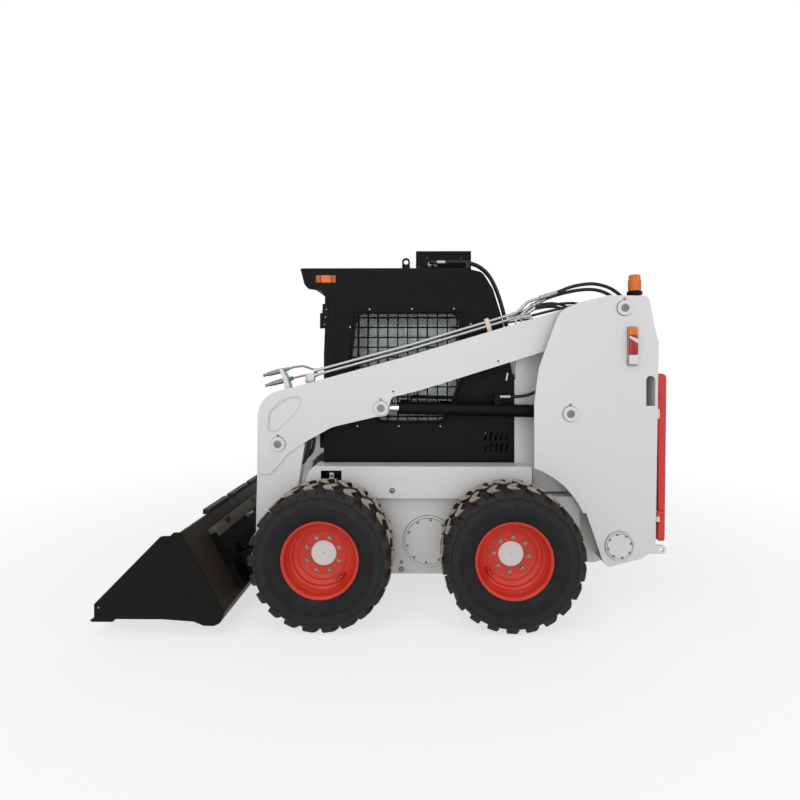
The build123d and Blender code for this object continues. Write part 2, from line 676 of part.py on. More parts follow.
def cab_hoses():
    """The air conditioner's two hoses over the roof's edge and down behind the cab, with their clamps."""
    clamp_y = (CAB_INSIDE - 46, CAB_INSIDE + 4)
    solid = block((208, 236), clamp_y, (ROOF_TOP, ROOF_TOP + 52)) + block((-60, -24), clamp_y, (1690, 1710))
    for x_start, y in ((470, CAB_INSIDE - 8), (430, CAB_INSIDE - 34)):
        route = [(x_start, CAB_HALF - 120 + FIT, ROOF_TOP + 44), (x_start, y, ROOF_TOP + 44)]
        route += [(x, y, z) for x, z in ROOF_HOSE_ROUTE]
        solid += hose(route, ROOF_HOSE_RADIUS, [28] + [60] * (len(ROOF_HOSE_ROUTE) - 2) + [28])
    return solid


parts["cab_hoses"] = cab_hoses()


# ------------------------------------------------------------------ seat, restraint bar and controls
parts["seat_base"] = block((130, 540), (-210, 210), (CHAINCASE_TOP, 840))
parts["seat_cushion"] = fillet(block((110, 590), (-240, 240), (840, 940)).edges(), 25)
back_rows = [(150, 940, 20), (60, 1480, 30), (150, 1500, 30), (240, 944, 20)]
parts["seat_back"] = side_sheet(back_rows, -230, 230)
BAR_PIVOT = (150, 1560)


def seat_bar():
    """The U-shaped bar that swings down in front of the operator."""
    reach, drop, half = 700, 1230, CAB_INSIDE - 40
    bends = [
        (BAR_PIVOT[0], half, BAR_PIVOT[1]), (reach - 160, half, drop + 120), (reach, half - 90, drop),
        (reach, 90 - half, drop), (reach - 160, -half, drop + 120), (BAR_PIVOT[0], -half, BAR_PIVOT[1]),
    ]
    path = FilletPolyline(*bends, radius=60)
    tube = sweep(Plane(origin=path @ 0, z_dir=path % 0) * Circle(15), path=path)
    for half_pin in both_sides(cross_pin(BAR_PIVOT, half - 20, CAB_INSIDE - FIT, 12)):
        tube += half_pin
    for half_boss in both_sides(cross_pin(BAR_PIVOT, half - 20, half + 20, 26)):
        tube += half_boss
    return tube


def lever():
    """One control lever with its grip, standing on the platform beside the seat."""
    y = CHAINCASE_IN - 80
    stick = bar((424, y, CHAINCASE_TOP + 12), (520, y, 1060), 10)
    grip = bar((520, y, 1060), (550, y - 10, 1180), 24)
    foot = block((385, 455), (y - 35, y + 35), (CHAINCASE_TOP, CHAINCASE_TOP + 30))
    return stick + grip + foot


parts["seat_bar"] = seat_bar()
parts["control_levers"] = pair(lever())


# ------------------------------------------------------------------ lamps
def tail_lamp():
    """One upright cluster on the tower's outer face."""
    return block((-795, -734), (TOWER_OUT, TOWER_OUT + 30), (1520, 1757))


def marker_lamp():
    """One flat lamp set into the canopy's side."""
    return block(MARKER_X, (CAB_HALF - MARKER_DEPTH, CAB_HALF + 4), MARKER_Z)


def beacon():
    """The round warning lamp on the left tower, on its foot."""
    centre = (-807, TOWER_OUT - 80)
    foot = Pos(*centre, 1920) * Cylinder(20, 45, align=(Align.CENTER, Align.CENTER, Align.MIN))
    plate = block((-845, -769), (centre[1] - 40, TOWER_OUT - TOWER_SHEET), (1910, 1922))
    base = Pos(*centre, 1961) * Cylinder(46, 24, align=(Align.CENTER, Align.CENTER, Align.MIN))
    lens = Pos(*centre, 1985) * Cylinder(38, 101, align=(Align.CENTER, Align.CENTER, Align.MIN))
    return foot + plate + base + lens


parts["tail_lamps"] = pair(tail_lamp())
parts["marker_lamps"] = pair(marker_lamp())
parts["beacon"] = beacon()


# ------------------------------------------------------------------ lift arms
ARM_TOP_ROWS = [(-745, 1930, 50), (-340, 1865, 0), (600, 1583, 0), (1380, 1372, 0), (1556, 1334, 170)]
ARM_UNDER_ROWS = [
    (1262, 1037, 60), (1089, 1134, 200), (815, 1198, 0), (735, 1205, 35), (722, 1320, 45), (535, 1365, 0),
    (-236, 1607, 0), (-745, 1800, 50),
]
CHEEK_ROWS = [(1560, 850, 30), (1480, 832, 40), (1364, 968, 40)]
SLOT_HALF = 45


def arm():
    """One lift arm: a box beam, its cheek, and a channel leg that ends in a lug for the bucket's pin."""
    beam = side_sheet(ARM_TOP_ROWS + CHEEK_ROWS + ARM_UNDER_ROWS, ARM_IN, ARM_OUT)
    beam -= block((600, 870), (ARM_MID - SLOT_HALF, ARM_MID + SLOT_HALF), (1100, 1328))
    channel_half = SLOT_HALF - 5
    leg_in, leg_out = ARM_IN + LEG_SHEET, ARM_OUT - LEG_SHEET
    leg_rows = [
        (1240, 1140, 0), (1555, 1140, 0), (1572, 430, 0), (1572, 150, 0), (1401, 150, 0), (1306, 752, 0),
        (1262, 1033, 0),
    ]
    leg = side_sheet(leg_rows, leg_in, leg_out)
    hollow = [(1330, 1085, 30), (1700, 1100, 0), (1700, 150, 0), (1412, 150, 0)]
    leg -= cross_pin(BUCKET_PIVOT, leg_in - 1, leg_out + 1, 205)
    room = side_sheet(hollow, ARM_MID - channel_half, ARM_MID + channel_half)
    leg -= room
    beam -= room
    foot_rows = [
        (1350, 470, 0), (1420, 470, 0), (1432, 280, 40), (1540, 222, 30), (1584, 180, 36), (1540, 138, 36),
        (1440, 160, 40), (1372, 205, 20),
    ]
    foot = side_sheet(foot_rows, ARM_MID - 34, ARM_MID + 34)
    solid = beam + leg + foot
    solid += cross_pin(BUCKET_PIVOT, ARM_IN + 6, ARM_OUT - 6, 20)
    solid += cross_pin(TILT_BASE, ARM_IN, ARM_OUT, 20)
    solid -= cross_pin(ARM_PIVOT, ARM_IN - 1, ARM_OUT + 1, 30 + FIT)
    for centre in (TILT_BASE, LIFT_EYE):
        solid += cross_pin(centre, ARM_OUT, ARM_OUT + 8, PIN_COLLAR)
    pocket = [(1499, 1104, 25), (1446, 1098, 25), (1300, 1236, 25), (1276, 1330, 25), (1352, 1330, 40), (1486, 1236, 50)]
    solid -= side_sheet(pocket, ARM_OUT - 3, ARM_OUT + 1)
    return solid - side_sheet(shrunk(pocket, 0.9), ARM_OUT - 7, ARM_OUT)


left_and_right("arm", arm())
CROSSBARS = [(-147, 1650, 45), (1440, 600, 50)]
crossbar_solids = [
    cross_pin((CROSSBARS[0][0], CROSSBARS[0][1]), -ARM_IN, ARM_IN, CROSSBARS[0][2]),
    cross_pin((CROSSBARS[1][0], CROSSBARS[1][1]), -(ARM_IN + LEG_SHEET), ARM_IN + LEG_SHEET, CROSSBARS[1][2]),
]
parts["arm_crossbars"] = Compound(children=crossbar_solids)


PIPE_RADIUS = 8
PIPE_STATIONS = (1225, 600)
# rise over the arm's top edge, x of the last straight run's end, then x, z of the corner and x, y, z of the rear end
PIPES = [
    (41, -100, (-165, 1893), (-232, ARM_MID - 24, 1930)),
    (69, -80, (-152, 1928), (-292, ARM_MID, 1972)),
]
CLAMP_STATIONS = (90, 1120)
ARM_HOSE_RADIUS = 11
# y, then x, z of the corners that one hose goes by from its pipe's end round the arm's rear end
ARM_HOSES = [
    (ARM_MID - 37, [(-400, 1992), (-520, 2013), (-620, 2008), (-712, 1962), (-776, 1880), (-782, 1800)]),
    (ARM_MID - 13, [(-500, 2032), (-590, 2042), (-706, 2004), (-788, 1920), (-804, 1810)]),
]


def arm_top_at(x):
    """The height of the arm's top edge at this x."""
    for (x_low, z_low, _), (x_high, z_high, _) in zip(ARM_TOP_ROWS, ARM_TOP_ROWS[1:]):
        if x <= x_high:
            return z_low + (z_high - z_low) * (x - x_low) / (x_high - x_low)
    return ARM_TOP_ROWS[-1][1]


def pipe_route(rise, last, corner, end):
    """The points that one pipe goes by, from the arm's front to its rear end."""
    along_arm = [(x, ARM_MID, arm_top_at(x) + rise) for x in (*PIPE_STATIONS, last)]
    return along_arm + [(corner[0], ARM_MID, corner[1]), end]


def arm_pipes():
    """Two hydraulic pipes over one arm, one over the other, on clamp blocks."""
    solid = None
    for row in PIPES:
        pipe = hose(pipe_route(*row), PIPE_RADIUS, [400, 40, 40])
        solid = pipe if solid is None else solid + pipe
    for x in CLAMP_STATIONS:
        height = (arm_top_at(x - 14) + FIT, arm_top_at(x) + PIPES[-1][0] + 16)
        solid += block((x - 14, x + 14), (ARM_MID - 16, ARM_MID + 16), height)
    return solid


def arm_hoses():
    """The hoses that carry one arm's two pipes on, over its rear end."""
    solids = []
    for (y, corners), (*_, corner, end) in zip(ARM_HOSES, PIPES):
        onward = (Vector(end) - Vector(corner[0], ARM_MID, corner[1])).normalized()
        route = [Vector(end) + onward * run for run in (FIT, 60)] + [(x, y, z) for x, z in corners]
        solids.append(hose(route, ARM_HOSE_RADIUS, 50))
    return solids


def couplers():
    """The bracket at the left arm's front with two quick couplers."""
    y = ARM_MID
    foot = (1380, 1418)
    plate_rows = [
        (foot[0], arm_top_at(foot[0]) + FIT, 0), (1396, 1496, 4), (1418, 1496, 4),
        (foot[1], arm_top_at(foot[1]) + FIT, 0),
    ]
    solid = side_sheet(plate_rows, y - 40, y + 40)
    for low, high in (((1405, 1420), (1530, 1390)), ((1405, 1470), (1528, 1456))):
        solid += bar((low[0], y, low[1]), (high[0], y, high[1]), 17)
    return solid


left_pipes, right_pipes = both_sides(arm_pipes())
parts["arm_pipes"] = Compound(children=[left_pipes, right_pipes])
parts["arm_hoses"] = Compound(children=[half for piece in arm_hoses() for half in both_sides(piece)])
parts["couplers"] = couplers()


# ------------------------------------------------------------------ cylinders
# name, base pin, rod eye, pin radius, barrel radius, barrel end before the eye, rod radius, eye half width, piston
# from the base pin
CYLINDERS = [
    ("lift", LIFT_BASE, LIFT_EYE, 22, 40, 111, 22, 40, 90),
    ("tilt", TILT_BASE, TILT_EYE, 20, 35, 106, 20, 20, 140),
]
PISTON_LENGTH = 40


def cylinder_pieces(base, eye, pin_radius, barrel_radius, short, rod_radius, eye_half, piston_place):
    """The barrel with its base eye, and the rod with its piston and open eye."""
    length = math.dist(base, eye)
    start, end = along(base, eye, pin_radius + 15), along(base, eye, length - short)
    bore_start, gland = along(base, eye, pin_radius + 50), along(base, eye, length - short - 30)
    at = lambda point: (point[0], ARM_MID, point[1])
    barrel = bar(at(start), at(end), barrel_radius) - bar(at(bore_start), at(gland), barrel_radius - 8)
    barrel -= bar(at(gland), at(along(base, eye, length)), rod_radius + FIT)
    barrel += cross_pin(base, ARM_MID - 30, ARM_MID + 30, pin_radius + 18)
    barrel -= cross_pin(base, ARM_MID - 31, ARM_MID + 31, pin_radius + FIT)
    piston_start = along(base, eye, piston_place)
    piston_end = along(base, eye, piston_place + PISTON_LENGTH)
    rod = bar(at(piston_start), at(eye), rod_radius) + bar(at(piston_start), at(piston_end), barrel_radius - 8 - FIT)
    rod += cross_pin(eye, ARM_MID - eye_half, ARM_MID + eye_half, pin_radius + 12)
    rod -= cross_pin(eye, ARM_MID - eye_half - 1, ARM_MID + eye_half + 1, pin_radius)
    return barrel, rod


def lift_pipe():
    """The pipe along the lift cylinder's barrel to its front port, with the block at its rear end."""
    route = [(596, ARM_MID, 1284.5), (596, ARM_MID, 1316), (44, ARM_MID, 1303)]
    return hose(route, 6, 16) + block((26, 62), (ARM_MID - 15, ARM_MID + 15), (1272, 1336))


for name, *sizes in CYLINDERS:
    barrel, rod = cylinder_pieces(*sizes)
    if name == "lift":
        barrel += lift_pipe()
    left_and_right(f"{name}_barrel", barrel)
    left_and_right(f"{name}_rod", rod)


# ------------------------------------------------------------------ bucket and its carrier
BACK_LENGTH = math.dist(HEEL, BACK_TOP)
BACK_UP = ((BACK_TOP[0] - HEEL[0]) / BACK_LENGTH, (BACK_TOP[1] - HEEL[1]) / BACK_LENGTH)


def behind(up, back):
    """The side-view point this far up the bucket's back and this far behind it."""
    return (HEEL[0] + up * BACK_UP[0] - back * BACK_UP[1], HEEL[1] + up * BACK_UP[1] + back * BACK_UP[0])


def behind_sheet(rows, y_in, y_out):
    """A sheet drawn in rows (up the back, behind the back, corner radius)."""
    return side_sheet([(*behind(up, back), radius) for up, back, radius in rows], y_in, y_out)


CARRIER_HALF = ARM_OUT + 100
CARRIER_DEPTH = 42
CARRIER_SHEET = 16
CARRIER_SPAN = (20, 395)
NOTCH_PLACES = (-470, 0, 470)


def carrier():
    """The quick-attach plate with its rim and the ears on the two pins of each leg."""
    low, high = CARRIER_SPAN
    seat = 0.5
    outline = [(low, seat, 0), (low, CARRIER_DEPTH, 0), (high, CARRIER_DEPTH, 0), (high, seat, 0)]
    solid = behind_sheet(outline, -CARRIER_HALF, CARRIER_HALF)
    inside = [
        (low + 16, 0, 0), (low + 16, CARRIER_DEPTH - CARRIER_SHEET, 0), (high - 16, CARRIER_DEPTH - CARRIER_SHEET, 0),
        (high - 16, 0, 0),
    ]
    solid -= behind_sheet(inside, 16 - CARRIER_HALF, CARRIER_HALF - 16)
    window = [(50, 0, 0), (50, 60, 0), (250, 60, 0), (250, 0, 0)]
    ear = [
        (low + 2, CARRIER_DEPTH, 0), (-40, 62, 16), (-46, 118, 30), (60, 152, 60), (150, 152, 36), (188, 112, 36),
        (200, CARRIER_DEPTH, 0),
    ]
    ear_in, ear_out, ear_sheet = ARM_IN + 10, ARM_OUT - 10, 12
    ears = behind_sheet(ear, ear_in, ear_in + ear_sheet) + behind_sheet(ear, ear_out - ear_sheet, ear_out)
    ears -= cross_pin(BUCKET_PIVOT, ear_in - 1, ear_out + 1, 20 + FIT)
    holes = behind_sheet(window, ear_in + ear_sheet, ear_out - ear_sheet)
    for half in both_sides(ears):
        solid += half
    for half in both_sides(holes):
        solid -= half
    notch = [(high - CARRIER_SHEET - 1, -1, 0), (high - CARRIER_SHEET - 1, 22, 0), (high + 1, 22, 0), (high + 1, -1, 0)]
    for y in NOTCH_PLACES:
        solid -= behind_sheet(notch, y - 24, y + 24)
    return solid


EDGE_TOP = 104
LIP_PLATES = [(-540, -210), (-165, 165), (210, 540)]


def bucket():
    """The shell: two side plates, one sheet folded from the back's top to the floor's front, and plates on its lip."""
    wall = BUCKET_SHEET
    outline = [
        (2354, EDGE_TOP, 0), (2354, 187, 0), (1985, 562, 0), (1968, 566, 0), (1931, 566, 0), (1910, 586, 0),
        (*BACK_TOP, 0), (*HEEL, 14), (HEEL[0] + 24, HEEL[1] - 57, 12), (HEEL[0] + 56, HEEL[1] - 73, 15), (1738, 69, 30),
        (1796, 92, 20), (1967, EDGE_TOP, 0),
    ]
    back_in = (BACK_TOP[0] + wall * 1.14, BACK_TOP[1])
    inner = [
        (back_in[0] + 45, 700, 0), (2600, 700, 0), (2600, EDGE_TOP + wall, 0), (1967, EDGE_TOP + wall, 0),
        (1796, 105, 0), (1738, 82, 20), (HEEL[0] + 64, HEEL[1] - 59, 10), (HEEL[0] + 34, HEEL[1] - 45, 10),
        (HEEL[0] + 15, HEEL[1] + 8, 10), (*back_in, 0),
    ]
    solid = side_sheet(outline, -BUCKET_HALF, BUCKET_HALF)
    solid -= side_sheet(inner, wall - BUCKET_HALF, BUCKET_HALF - wall)
    for y in LIP_PLATES:
        solid += block((BACK_TOP[0] + 3, BACK_TOP[0] + 40), y, (BACK_TOP[1] - 4, BACK_TOP[1] + 26))
    return solid


def cutting_edge():
    """The bevelled wear edge in front of the floor."""
    rows = [(2250, EDGE_TOP, 0), (2362, EDGE_TOP, 0), (EDGE_TIP, 96, 0), (2366, 88, 0), (2250, 88, 0)]
    return side_sheet(rows, -BUCKET_HALF, BUCKET_HALF)


parts["carrier"] = carrier()
parts["bucket"] = bucket()
parts["cutting_edge"] = cutting_edge()


# ------------------------------------------------------------------ export
def export_parts():
    """Write each piece to its own file, with the origin under the middle of the machine."""
    os.makedirs("parts", exist_ok=True)
    for name, shape in parts.items():
        moved = [Pos(ORIGIN_SHIFT, 0, 0) * solid for solid in shape.solids()]
        export_step(moved[0] if len(moved) == 1 else Compound(moved), f"parts/{name}.step")


export_parts()
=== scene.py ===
"""The looks of a skid steer loader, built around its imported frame.

Units are metres. Places along the machine are given as a distance forward of the rear axle, because every
side-view size of a loader is drawn from there; `at` turns them into the frame's own coordinates.
"""
import logging
import math
from dataclasses import dataclass
from enum import Enum
from functools import cache
from typing import Iterable, Optional, Sequence, Union

import bmesh
import bpy
from mathutils import Matrix, Vector


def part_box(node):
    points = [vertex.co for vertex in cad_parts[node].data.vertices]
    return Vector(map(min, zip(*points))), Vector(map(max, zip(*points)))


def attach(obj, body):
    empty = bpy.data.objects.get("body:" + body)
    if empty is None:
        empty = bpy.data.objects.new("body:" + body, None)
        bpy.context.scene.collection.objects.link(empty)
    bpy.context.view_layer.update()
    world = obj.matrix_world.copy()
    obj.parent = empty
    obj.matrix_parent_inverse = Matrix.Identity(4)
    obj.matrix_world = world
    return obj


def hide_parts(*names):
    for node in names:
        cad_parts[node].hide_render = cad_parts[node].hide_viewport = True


LOG = logging.getLogger("loader")
Point = tuple[float, float, float]
Row = tuple[float, float]
Colour = tuple[float, float, float]
Piece = bpy.types.Object
Socket = bpy.types.NodeSocket
Value = Union[Socket, float, Colour]

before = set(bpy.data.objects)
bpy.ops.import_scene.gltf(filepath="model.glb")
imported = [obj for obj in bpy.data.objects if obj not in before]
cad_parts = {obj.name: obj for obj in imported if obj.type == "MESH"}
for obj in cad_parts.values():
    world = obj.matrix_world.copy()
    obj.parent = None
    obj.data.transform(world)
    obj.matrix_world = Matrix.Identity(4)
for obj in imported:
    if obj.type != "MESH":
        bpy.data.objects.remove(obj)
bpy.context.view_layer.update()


# ------------------------------------------------------------------ places
class Side(Enum):
    """A side of the machine, as its nodes' names end."""

    LEFT = "left"
    RIGHT = "right"


def middle_of(node: str) -> Vector:
    """Return the middle of a CAD node's box."""
    low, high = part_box(node)
    return (low + high) / 2


REAR_AXLE = middle_of("tyre_rear_left")


def at(x: float, y: float, z: float) -> Vector:
    """Return the frame's point for x forward of the rear axle, y to the left and z above the ground."""
    return Vector((REAR_AXLE.x + x, y, z))


def spots(places: Iterable[Row], y: float) -> list[Vector]:
    """Return the frame's points for pairs of x and z, all at the same y."""
    return [at(x, y, z) for x, z in places]


# ------------------------------------------------------------------ work at the bench
def deselect() -> None:
    """Leave edit mode and deselect everything."""
    if bpy.context.object and bpy.context.object.mode != "OBJECT":
        bpy.ops.object.mode_set(mode="OBJECT")
    bpy.ops.object.select_all(action="DESELECT")


def pick(*objects: Piece) -> None:
    """Select only these objects and make the last one active.

    Args:
        *objects: the objects.
    """
    deselect()
    for obj in objects:
        obj.select_set(True)
    bpy.context.view_layer.objects.active = objects[-1]


def settle(obj: Piece) -> Piece:
    """Apply a piece's place to its mesh.

    Args:
        obj: the piece as it was added.

    Returns:
        The same piece, with its object at the origin.
    """
    pick(obj)
    bpy.ops.object.transform_apply(location=True, rotation=True, scale=True)
    return obj


def modify(obj: Piece, kind: str, **settings: object) -> Piece:
    """Add one modifier to a piece and apply it.

    Args:
        obj: the piece.
        kind: the modifier's type.
        **settings: its settings by name.

    Returns:
        The same piece.
    """
    pick(obj)
    modifier = obj.modifiers.new(kind.title(), kind)
    for key, value in settings.items():
        setattr(modifier, key, value)
    bpy.ops.object.modifier_apply(modifier=modifier.name)
    return obj


def softened(obj: Piece, width: float, segments: int = 2, degrees: float = 35) -> Piece:
    """Round a piece's sharp edges and shade it smooth between them.

    Args:
        obj: the piece.
        width: the rounding's width, or 0 for none.
        segments: how many faces make the rounding.
        degrees: edges sharper than this stay sharp in the shading.

    Returns:
        The same piece.
    """
    if width:
        limit = math.radians(40)
        modify(obj, "BEVEL", width=width, segments=segments, limit_method="ANGLE", angle_limit=limit)
    pick(obj)
    bpy.ops.object.shade_smooth_by_angle(angle=math.radians(degrees))
    return obj


def lofted(sections: Sequence[Sequence[Sequence[float]]]) -> Piece:
    """Draw a solid through sections of equally many points.

    A filled circle is laid on the first section, and is extruded on to each of the others.

    Args:
        sections: the corner points of each section, in the same order.

    Returns:
        The new piece.
    """
    deselect()
    count = len(sections[0])
    bpy.ops.mesh.primitive_circle_add(vertices=count, radius=1, fill_type="NGON")
    obj = bpy.context.object
    for vertex, corner in zip(obj.data.vertices, sections[0]):
        vertex.co = corner
    bpy.ops.object.mode_set(mode="EDIT")
    bpy.ops.mesh.select_all(action="SELECT")
    for before, after in zip(sections, sections[1:]):
        bpy.ops.mesh.extrude_region_move()
        mesh = bmesh.from_edit_mesh(obj.data)
        for vertex in [v for v in mesh.verts if v.select]:
            nearest = min(range(count), key=lambda k: (Vector(before[k]) - vertex.co).length_squared)
            vertex.co = after[nearest]
        bmesh.update_edit_mesh(obj.data)
    bpy.ops.mesh.select_all(action="SELECT")
    bpy.ops.mesh.remove_doubles(threshold=1e-6)
    bpy.ops.mesh.normals_make_consistent(inside=False)
    return settle(obj)


def slab(outline: Sequence[Row], y_low: float, y_high: float, bevel: float = 0.0) -> Piece:
    """Cut a plate to a side outline.

    Args:
        outline: its corners (x forward of the rear axle, z).
        y_low: its right face.
        y_high: its left face.
        bevel: the rounding of its edges.

    Returns:
        The new piece.
    """
    return softened(lofted([spots(outline, y) for y in (y_low, y_high)]), bevel)


def brick(x: Row, y: Row, z: Row, bevel: float = 0.002) -> Piece:
    """Make a block with rounded edges from its limits, x forward of the rear axle."""
    return slab([(x[0], z[0]), (x[1], z[0]), (x[1], z[1]), (x[0], z[1])], y[0], y[1], bevel)


def turned(rows: Sequence[Row], centre: Vector, steps: int = 48, ring: bool = False) -> Piece:
    """Turn a profile about an axis along y.

    Args:
        rows: the profile, as (radius, distance along y from the centre).
        centre: the centre of the turning.
        steps: how many faces go round.
        ring: whether the profile closes on itself, or else runs from the axis to the axis.

    Returns:
        The new piece.
    """
    deselect()
    bpy.ops.mesh.primitive_circle_add(vertices=len(rows), radius=1, fill_type="NOTHING")
    obj = bpy.context.object
    for vertex, (radius, out) in zip(obj.data.vertices, rows):
        vertex.co = centre + Vector((radius, out, 0))
    bpy.ops.object.mode_set(mode="EDIT")
    if not ring:
        mesh = bmesh.from_edit_mesh(obj.data)
        mesh.verts.ensure_lookup_table()
        closing = mesh.edges.get((mesh.verts[0], mesh.verts[len(rows) - 1]))
        bmesh.ops.delete(mesh, geom=[closing], context="EDGES")
        bmesh.update_edit_mesh(obj.data)
    bpy.ops.mesh.select_all(action="SELECT")
    bpy.ops.mesh.spin(steps=steps, angle=math.tau, center=centre, axis=(0, 1, 0))
    bpy.ops.mesh.select_all(action="SELECT")
    bpy.ops.mesh.remove_doubles(threshold=1e-5)
    bpy.ops.mesh.normals_make_consistent(inside=False)
    return softened(settle(obj), 0)


def tube(route: Sequence[Vector], radius: float, smooth: bool = True) -> Piece:
    """Bend a round bar or pipe along a route.

    Args:
        route: the points that it is bent by.
        radius: its radius.
        smooth: whether it bends smoothly by the points, or else runs straight from one to the next.

    Returns:
        The new piece, as a mesh.
    """
    deselect()
    bpy.ops.curve.primitive_nurbs_path_add()
    obj = bpy.context.object
    curve = obj.data
    curve.splines.clear()
    spline = curve.splines.new("NURBS" if smooth else "POLY")
    spline.points.add(len(route) - 1)
    for point, place in zip(spline.points, route):
        point.co = (*place, 1)
    if smooth:
        spline.order_u = 3
        spline.use_endpoint_u = True
        spline.resolution_u = 8
    curve.dimensions = "3D"
    curve.bevel_depth = radius
    curve.bevel_resolution = 4
    curve.use_fill_caps = True
    pick(obj)
    bpy.ops.object.convert(target="MESH")
    return softened(settle(bpy.context.object), 0, degrees=50)


def eased(route: Sequence[Vector], cut: float, steps: int = 5) -> list[Vector]:
    """Round off the corners of a route.

    Args:
        route: the points that it goes by.
        cut: how far before and after a corner its bend begins and ends.
        steps: how many straight runs make one bend.

    Returns:
        The rounded route.
    """
    places = [route[0]]
    for before, corner, after in zip(route, route[1:], route[2:]):
        start = corner + (before - corner).normalized() * cut
        stop = corner + (after - corner).normalized() * cut
        for step in range(steps + 1):
            share = step / steps
            places.append(start.lerp(corner, share).lerp(corner.lerp(stop, share), share))
    return [*places, route[-1]]


def sleeves(start: Vector, ahead: Vector, rows: Sequence[Point], steps: int = 20) -> Piece:
    """Turn the stepped sleeves of a fitting about a line.

    Args:
        start: where the line starts.
        ahead: which way it runs.
        rows: each sleeve as (from, to, radius) along the line.
        steps: how many faces go round.

    Returns:
        The fitting as one piece.
    """
    profile = [(0.0, rows[0][0])]
    for low, high, radius in rows:
        profile += [(radius, low), (radius, high)]
    profile.append((0.0, rows[-1][1]))
    piece = turned(profile, Vector(), steps)
    facing = Vector((0, 1, 0)).rotation_difference(ahead).to_matrix().to_4x4()
    piece.data.transform(Matrix.Translation(start) @ facing)
    return piece


def joined(pieces: Iterable[Piece]) -> Piece:
    """Join loose pieces into one.

    Args:
        pieces: the loose pieces.

    Returns:
        The joined piece.
    """
    pieces = list(pieces)
    pick(*pieces)
    if len(pieces) > 1:
        bpy.ops.object.join()
    return settle(bpy.context.object)


def copied(obj: Piece, place: Matrix) -> Piece:
    """Copy a piece with its own mesh, moved by this matrix.

    Args:
        obj: the piece to copy.
        place: the move, which may mirror it.

    Returns:
        The copy.
    """
    twin = obj.copy()
    twin.data = obj.data.copy()
    bpy.context.scene.collection.objects.link(twin)
    twin.data.transform(place)
    if place.determinant() < 0:
        twin.data.flip_normals()
    return twin


def spread(obj: Piece, places: Iterable[Matrix]) -> list[Piece]:
    """Copy a piece to several places, and take the first one away.

    Args:
        obj: the piece to copy.
        places: the moves of the copies, which may mirror them.

    Returns:
        The copies.
    """
    copies = [copied(obj, place) for place in places]
    bpy.data.objects.remove(obj)
    return copies


MIRROR = Matrix.Diagonal((1, -1, 1, 1))


def both_sides(*pieces: Piece) -> Piece:
    """Join loose pieces and their mirror images on the machine's other side into one piece."""
    piece = joined(pieces)
    return joined([piece, copied(piece, MIRROR)])


def turn_about(centre: Vector, degrees: float, axis: str = "Y") -> Matrix:
    """Return a turn about a line through the centre."""
    turn = Matrix.Rotation(math.radians(degrees), 4, axis)
    return Matrix.Translation(centre) @ turn @ Matrix.Translation(-centre)


def bolt(centre: Vector, radius: float, height: float) -> Piece:
    """Make a bolt's hexagonal head on its washer, standing out along +y.

    Args:
        centre: the middle of the washer's seat.
        radius: from the middle to a corner of the head.
        height: the head's height.

    Returns:
        The new piece.
    """
    wide, thick = radius * 1.35, height * 0.2
    washer = turned([(0, 0), (wide, 0), (wide, thick), (0, thick)], centre, 20)
    turns = [math.tau * k / 6 for k in range(6)]
    corners = [centre + Vector((radius * math.cos(turn), 0, radius * math.sin(turn))) for turn in turns]
    sections = [[corner + Vector((0, out, 0)) for corner in corners] for out in (thick, height)]
    return joined([washer, softened(lofted(sections), radius * 0.14)])


def bolt_circle(centre: Vector, radius: float, count: int, start: float, size: Row) -> Piece:
    """Set bolts on a circle about y.

    Args:
        centre: the circle's centre, at the bolts' seat.
        radius: the circle's radius.
        count: how many bolts.
        start: the first one's angle in degrees.
        size: a head's radius and height.

    Returns:
        The bolts as one piece.
    """
    first = bolt(centre + Vector((radius, 0, 0)), *size)
    return joined(spread(first, [turn_about(centre, start + 360 * k / count) for k in range(count)]))


def studded(rows: Sequence[Row], places: Iterable[Row], face: float, steps: int = 16) -> Piece:
    """Set the same small turned profile at several places of a side face, on both sides of the machine.

    Args:
        rows: the profile, as (radius, distance out of the face).
        places: where it stands, as x forward of the rear axle and z.
        face: the face's y.
        steps: how many faces go round.

    Returns:
        All of them as one piece.
    """
    return both_sides(*(turned(rows, centre, steps) for centre in spots(places, face)))


# the mouth of a small hole: a thin disc that lies on the face
HOLE_MOUTH = ((0, 0), (0.0065, 0), (0.0065, 0.0006), (0, 0.0006))


def band(inner: float, wide: float, low: float, high: float) -> list[Row]:
    """Return the profile of a flat ring from its inner radius, its width and its two faces."""
    return [(inner, low), (inner + wide, low), (inner + wide, high), (inner, high)]


def pin_ends(pins: Iterable[Row], face: float, out: float) -> Piece:
    """Model the ends of pins in their collars, each with its screw and its lock, on both sides.

    Args:
        pins: where the pins are, as x and z.
        face: the y of the face that the locks are on.
        out: how far the collars stand out of that face.

    Returns:
        All of them as one piece.
    """
    rim = [(0.024, -0.004), (0.024, 0.003), (0.021, 0.006), (0.013, 0.006), (0.011, 0.001)]
    rows = [(0, rim[0][1]), *rim, (0, rim[-1][1])]
    pieces = []
    for centre in spots(pins, face):
        pieces.append(turned(rows, centre + Vector((0, out, 0)), 40))
        pieces.append(bolt(centre + Vector((0, out + 0.001, 0)), 0.0085, 0.006))
        pieces.append(bolt(centre + Vector((0, 0, 0.055)), 0.006, 0.006))
    return both_sides(*pieces)


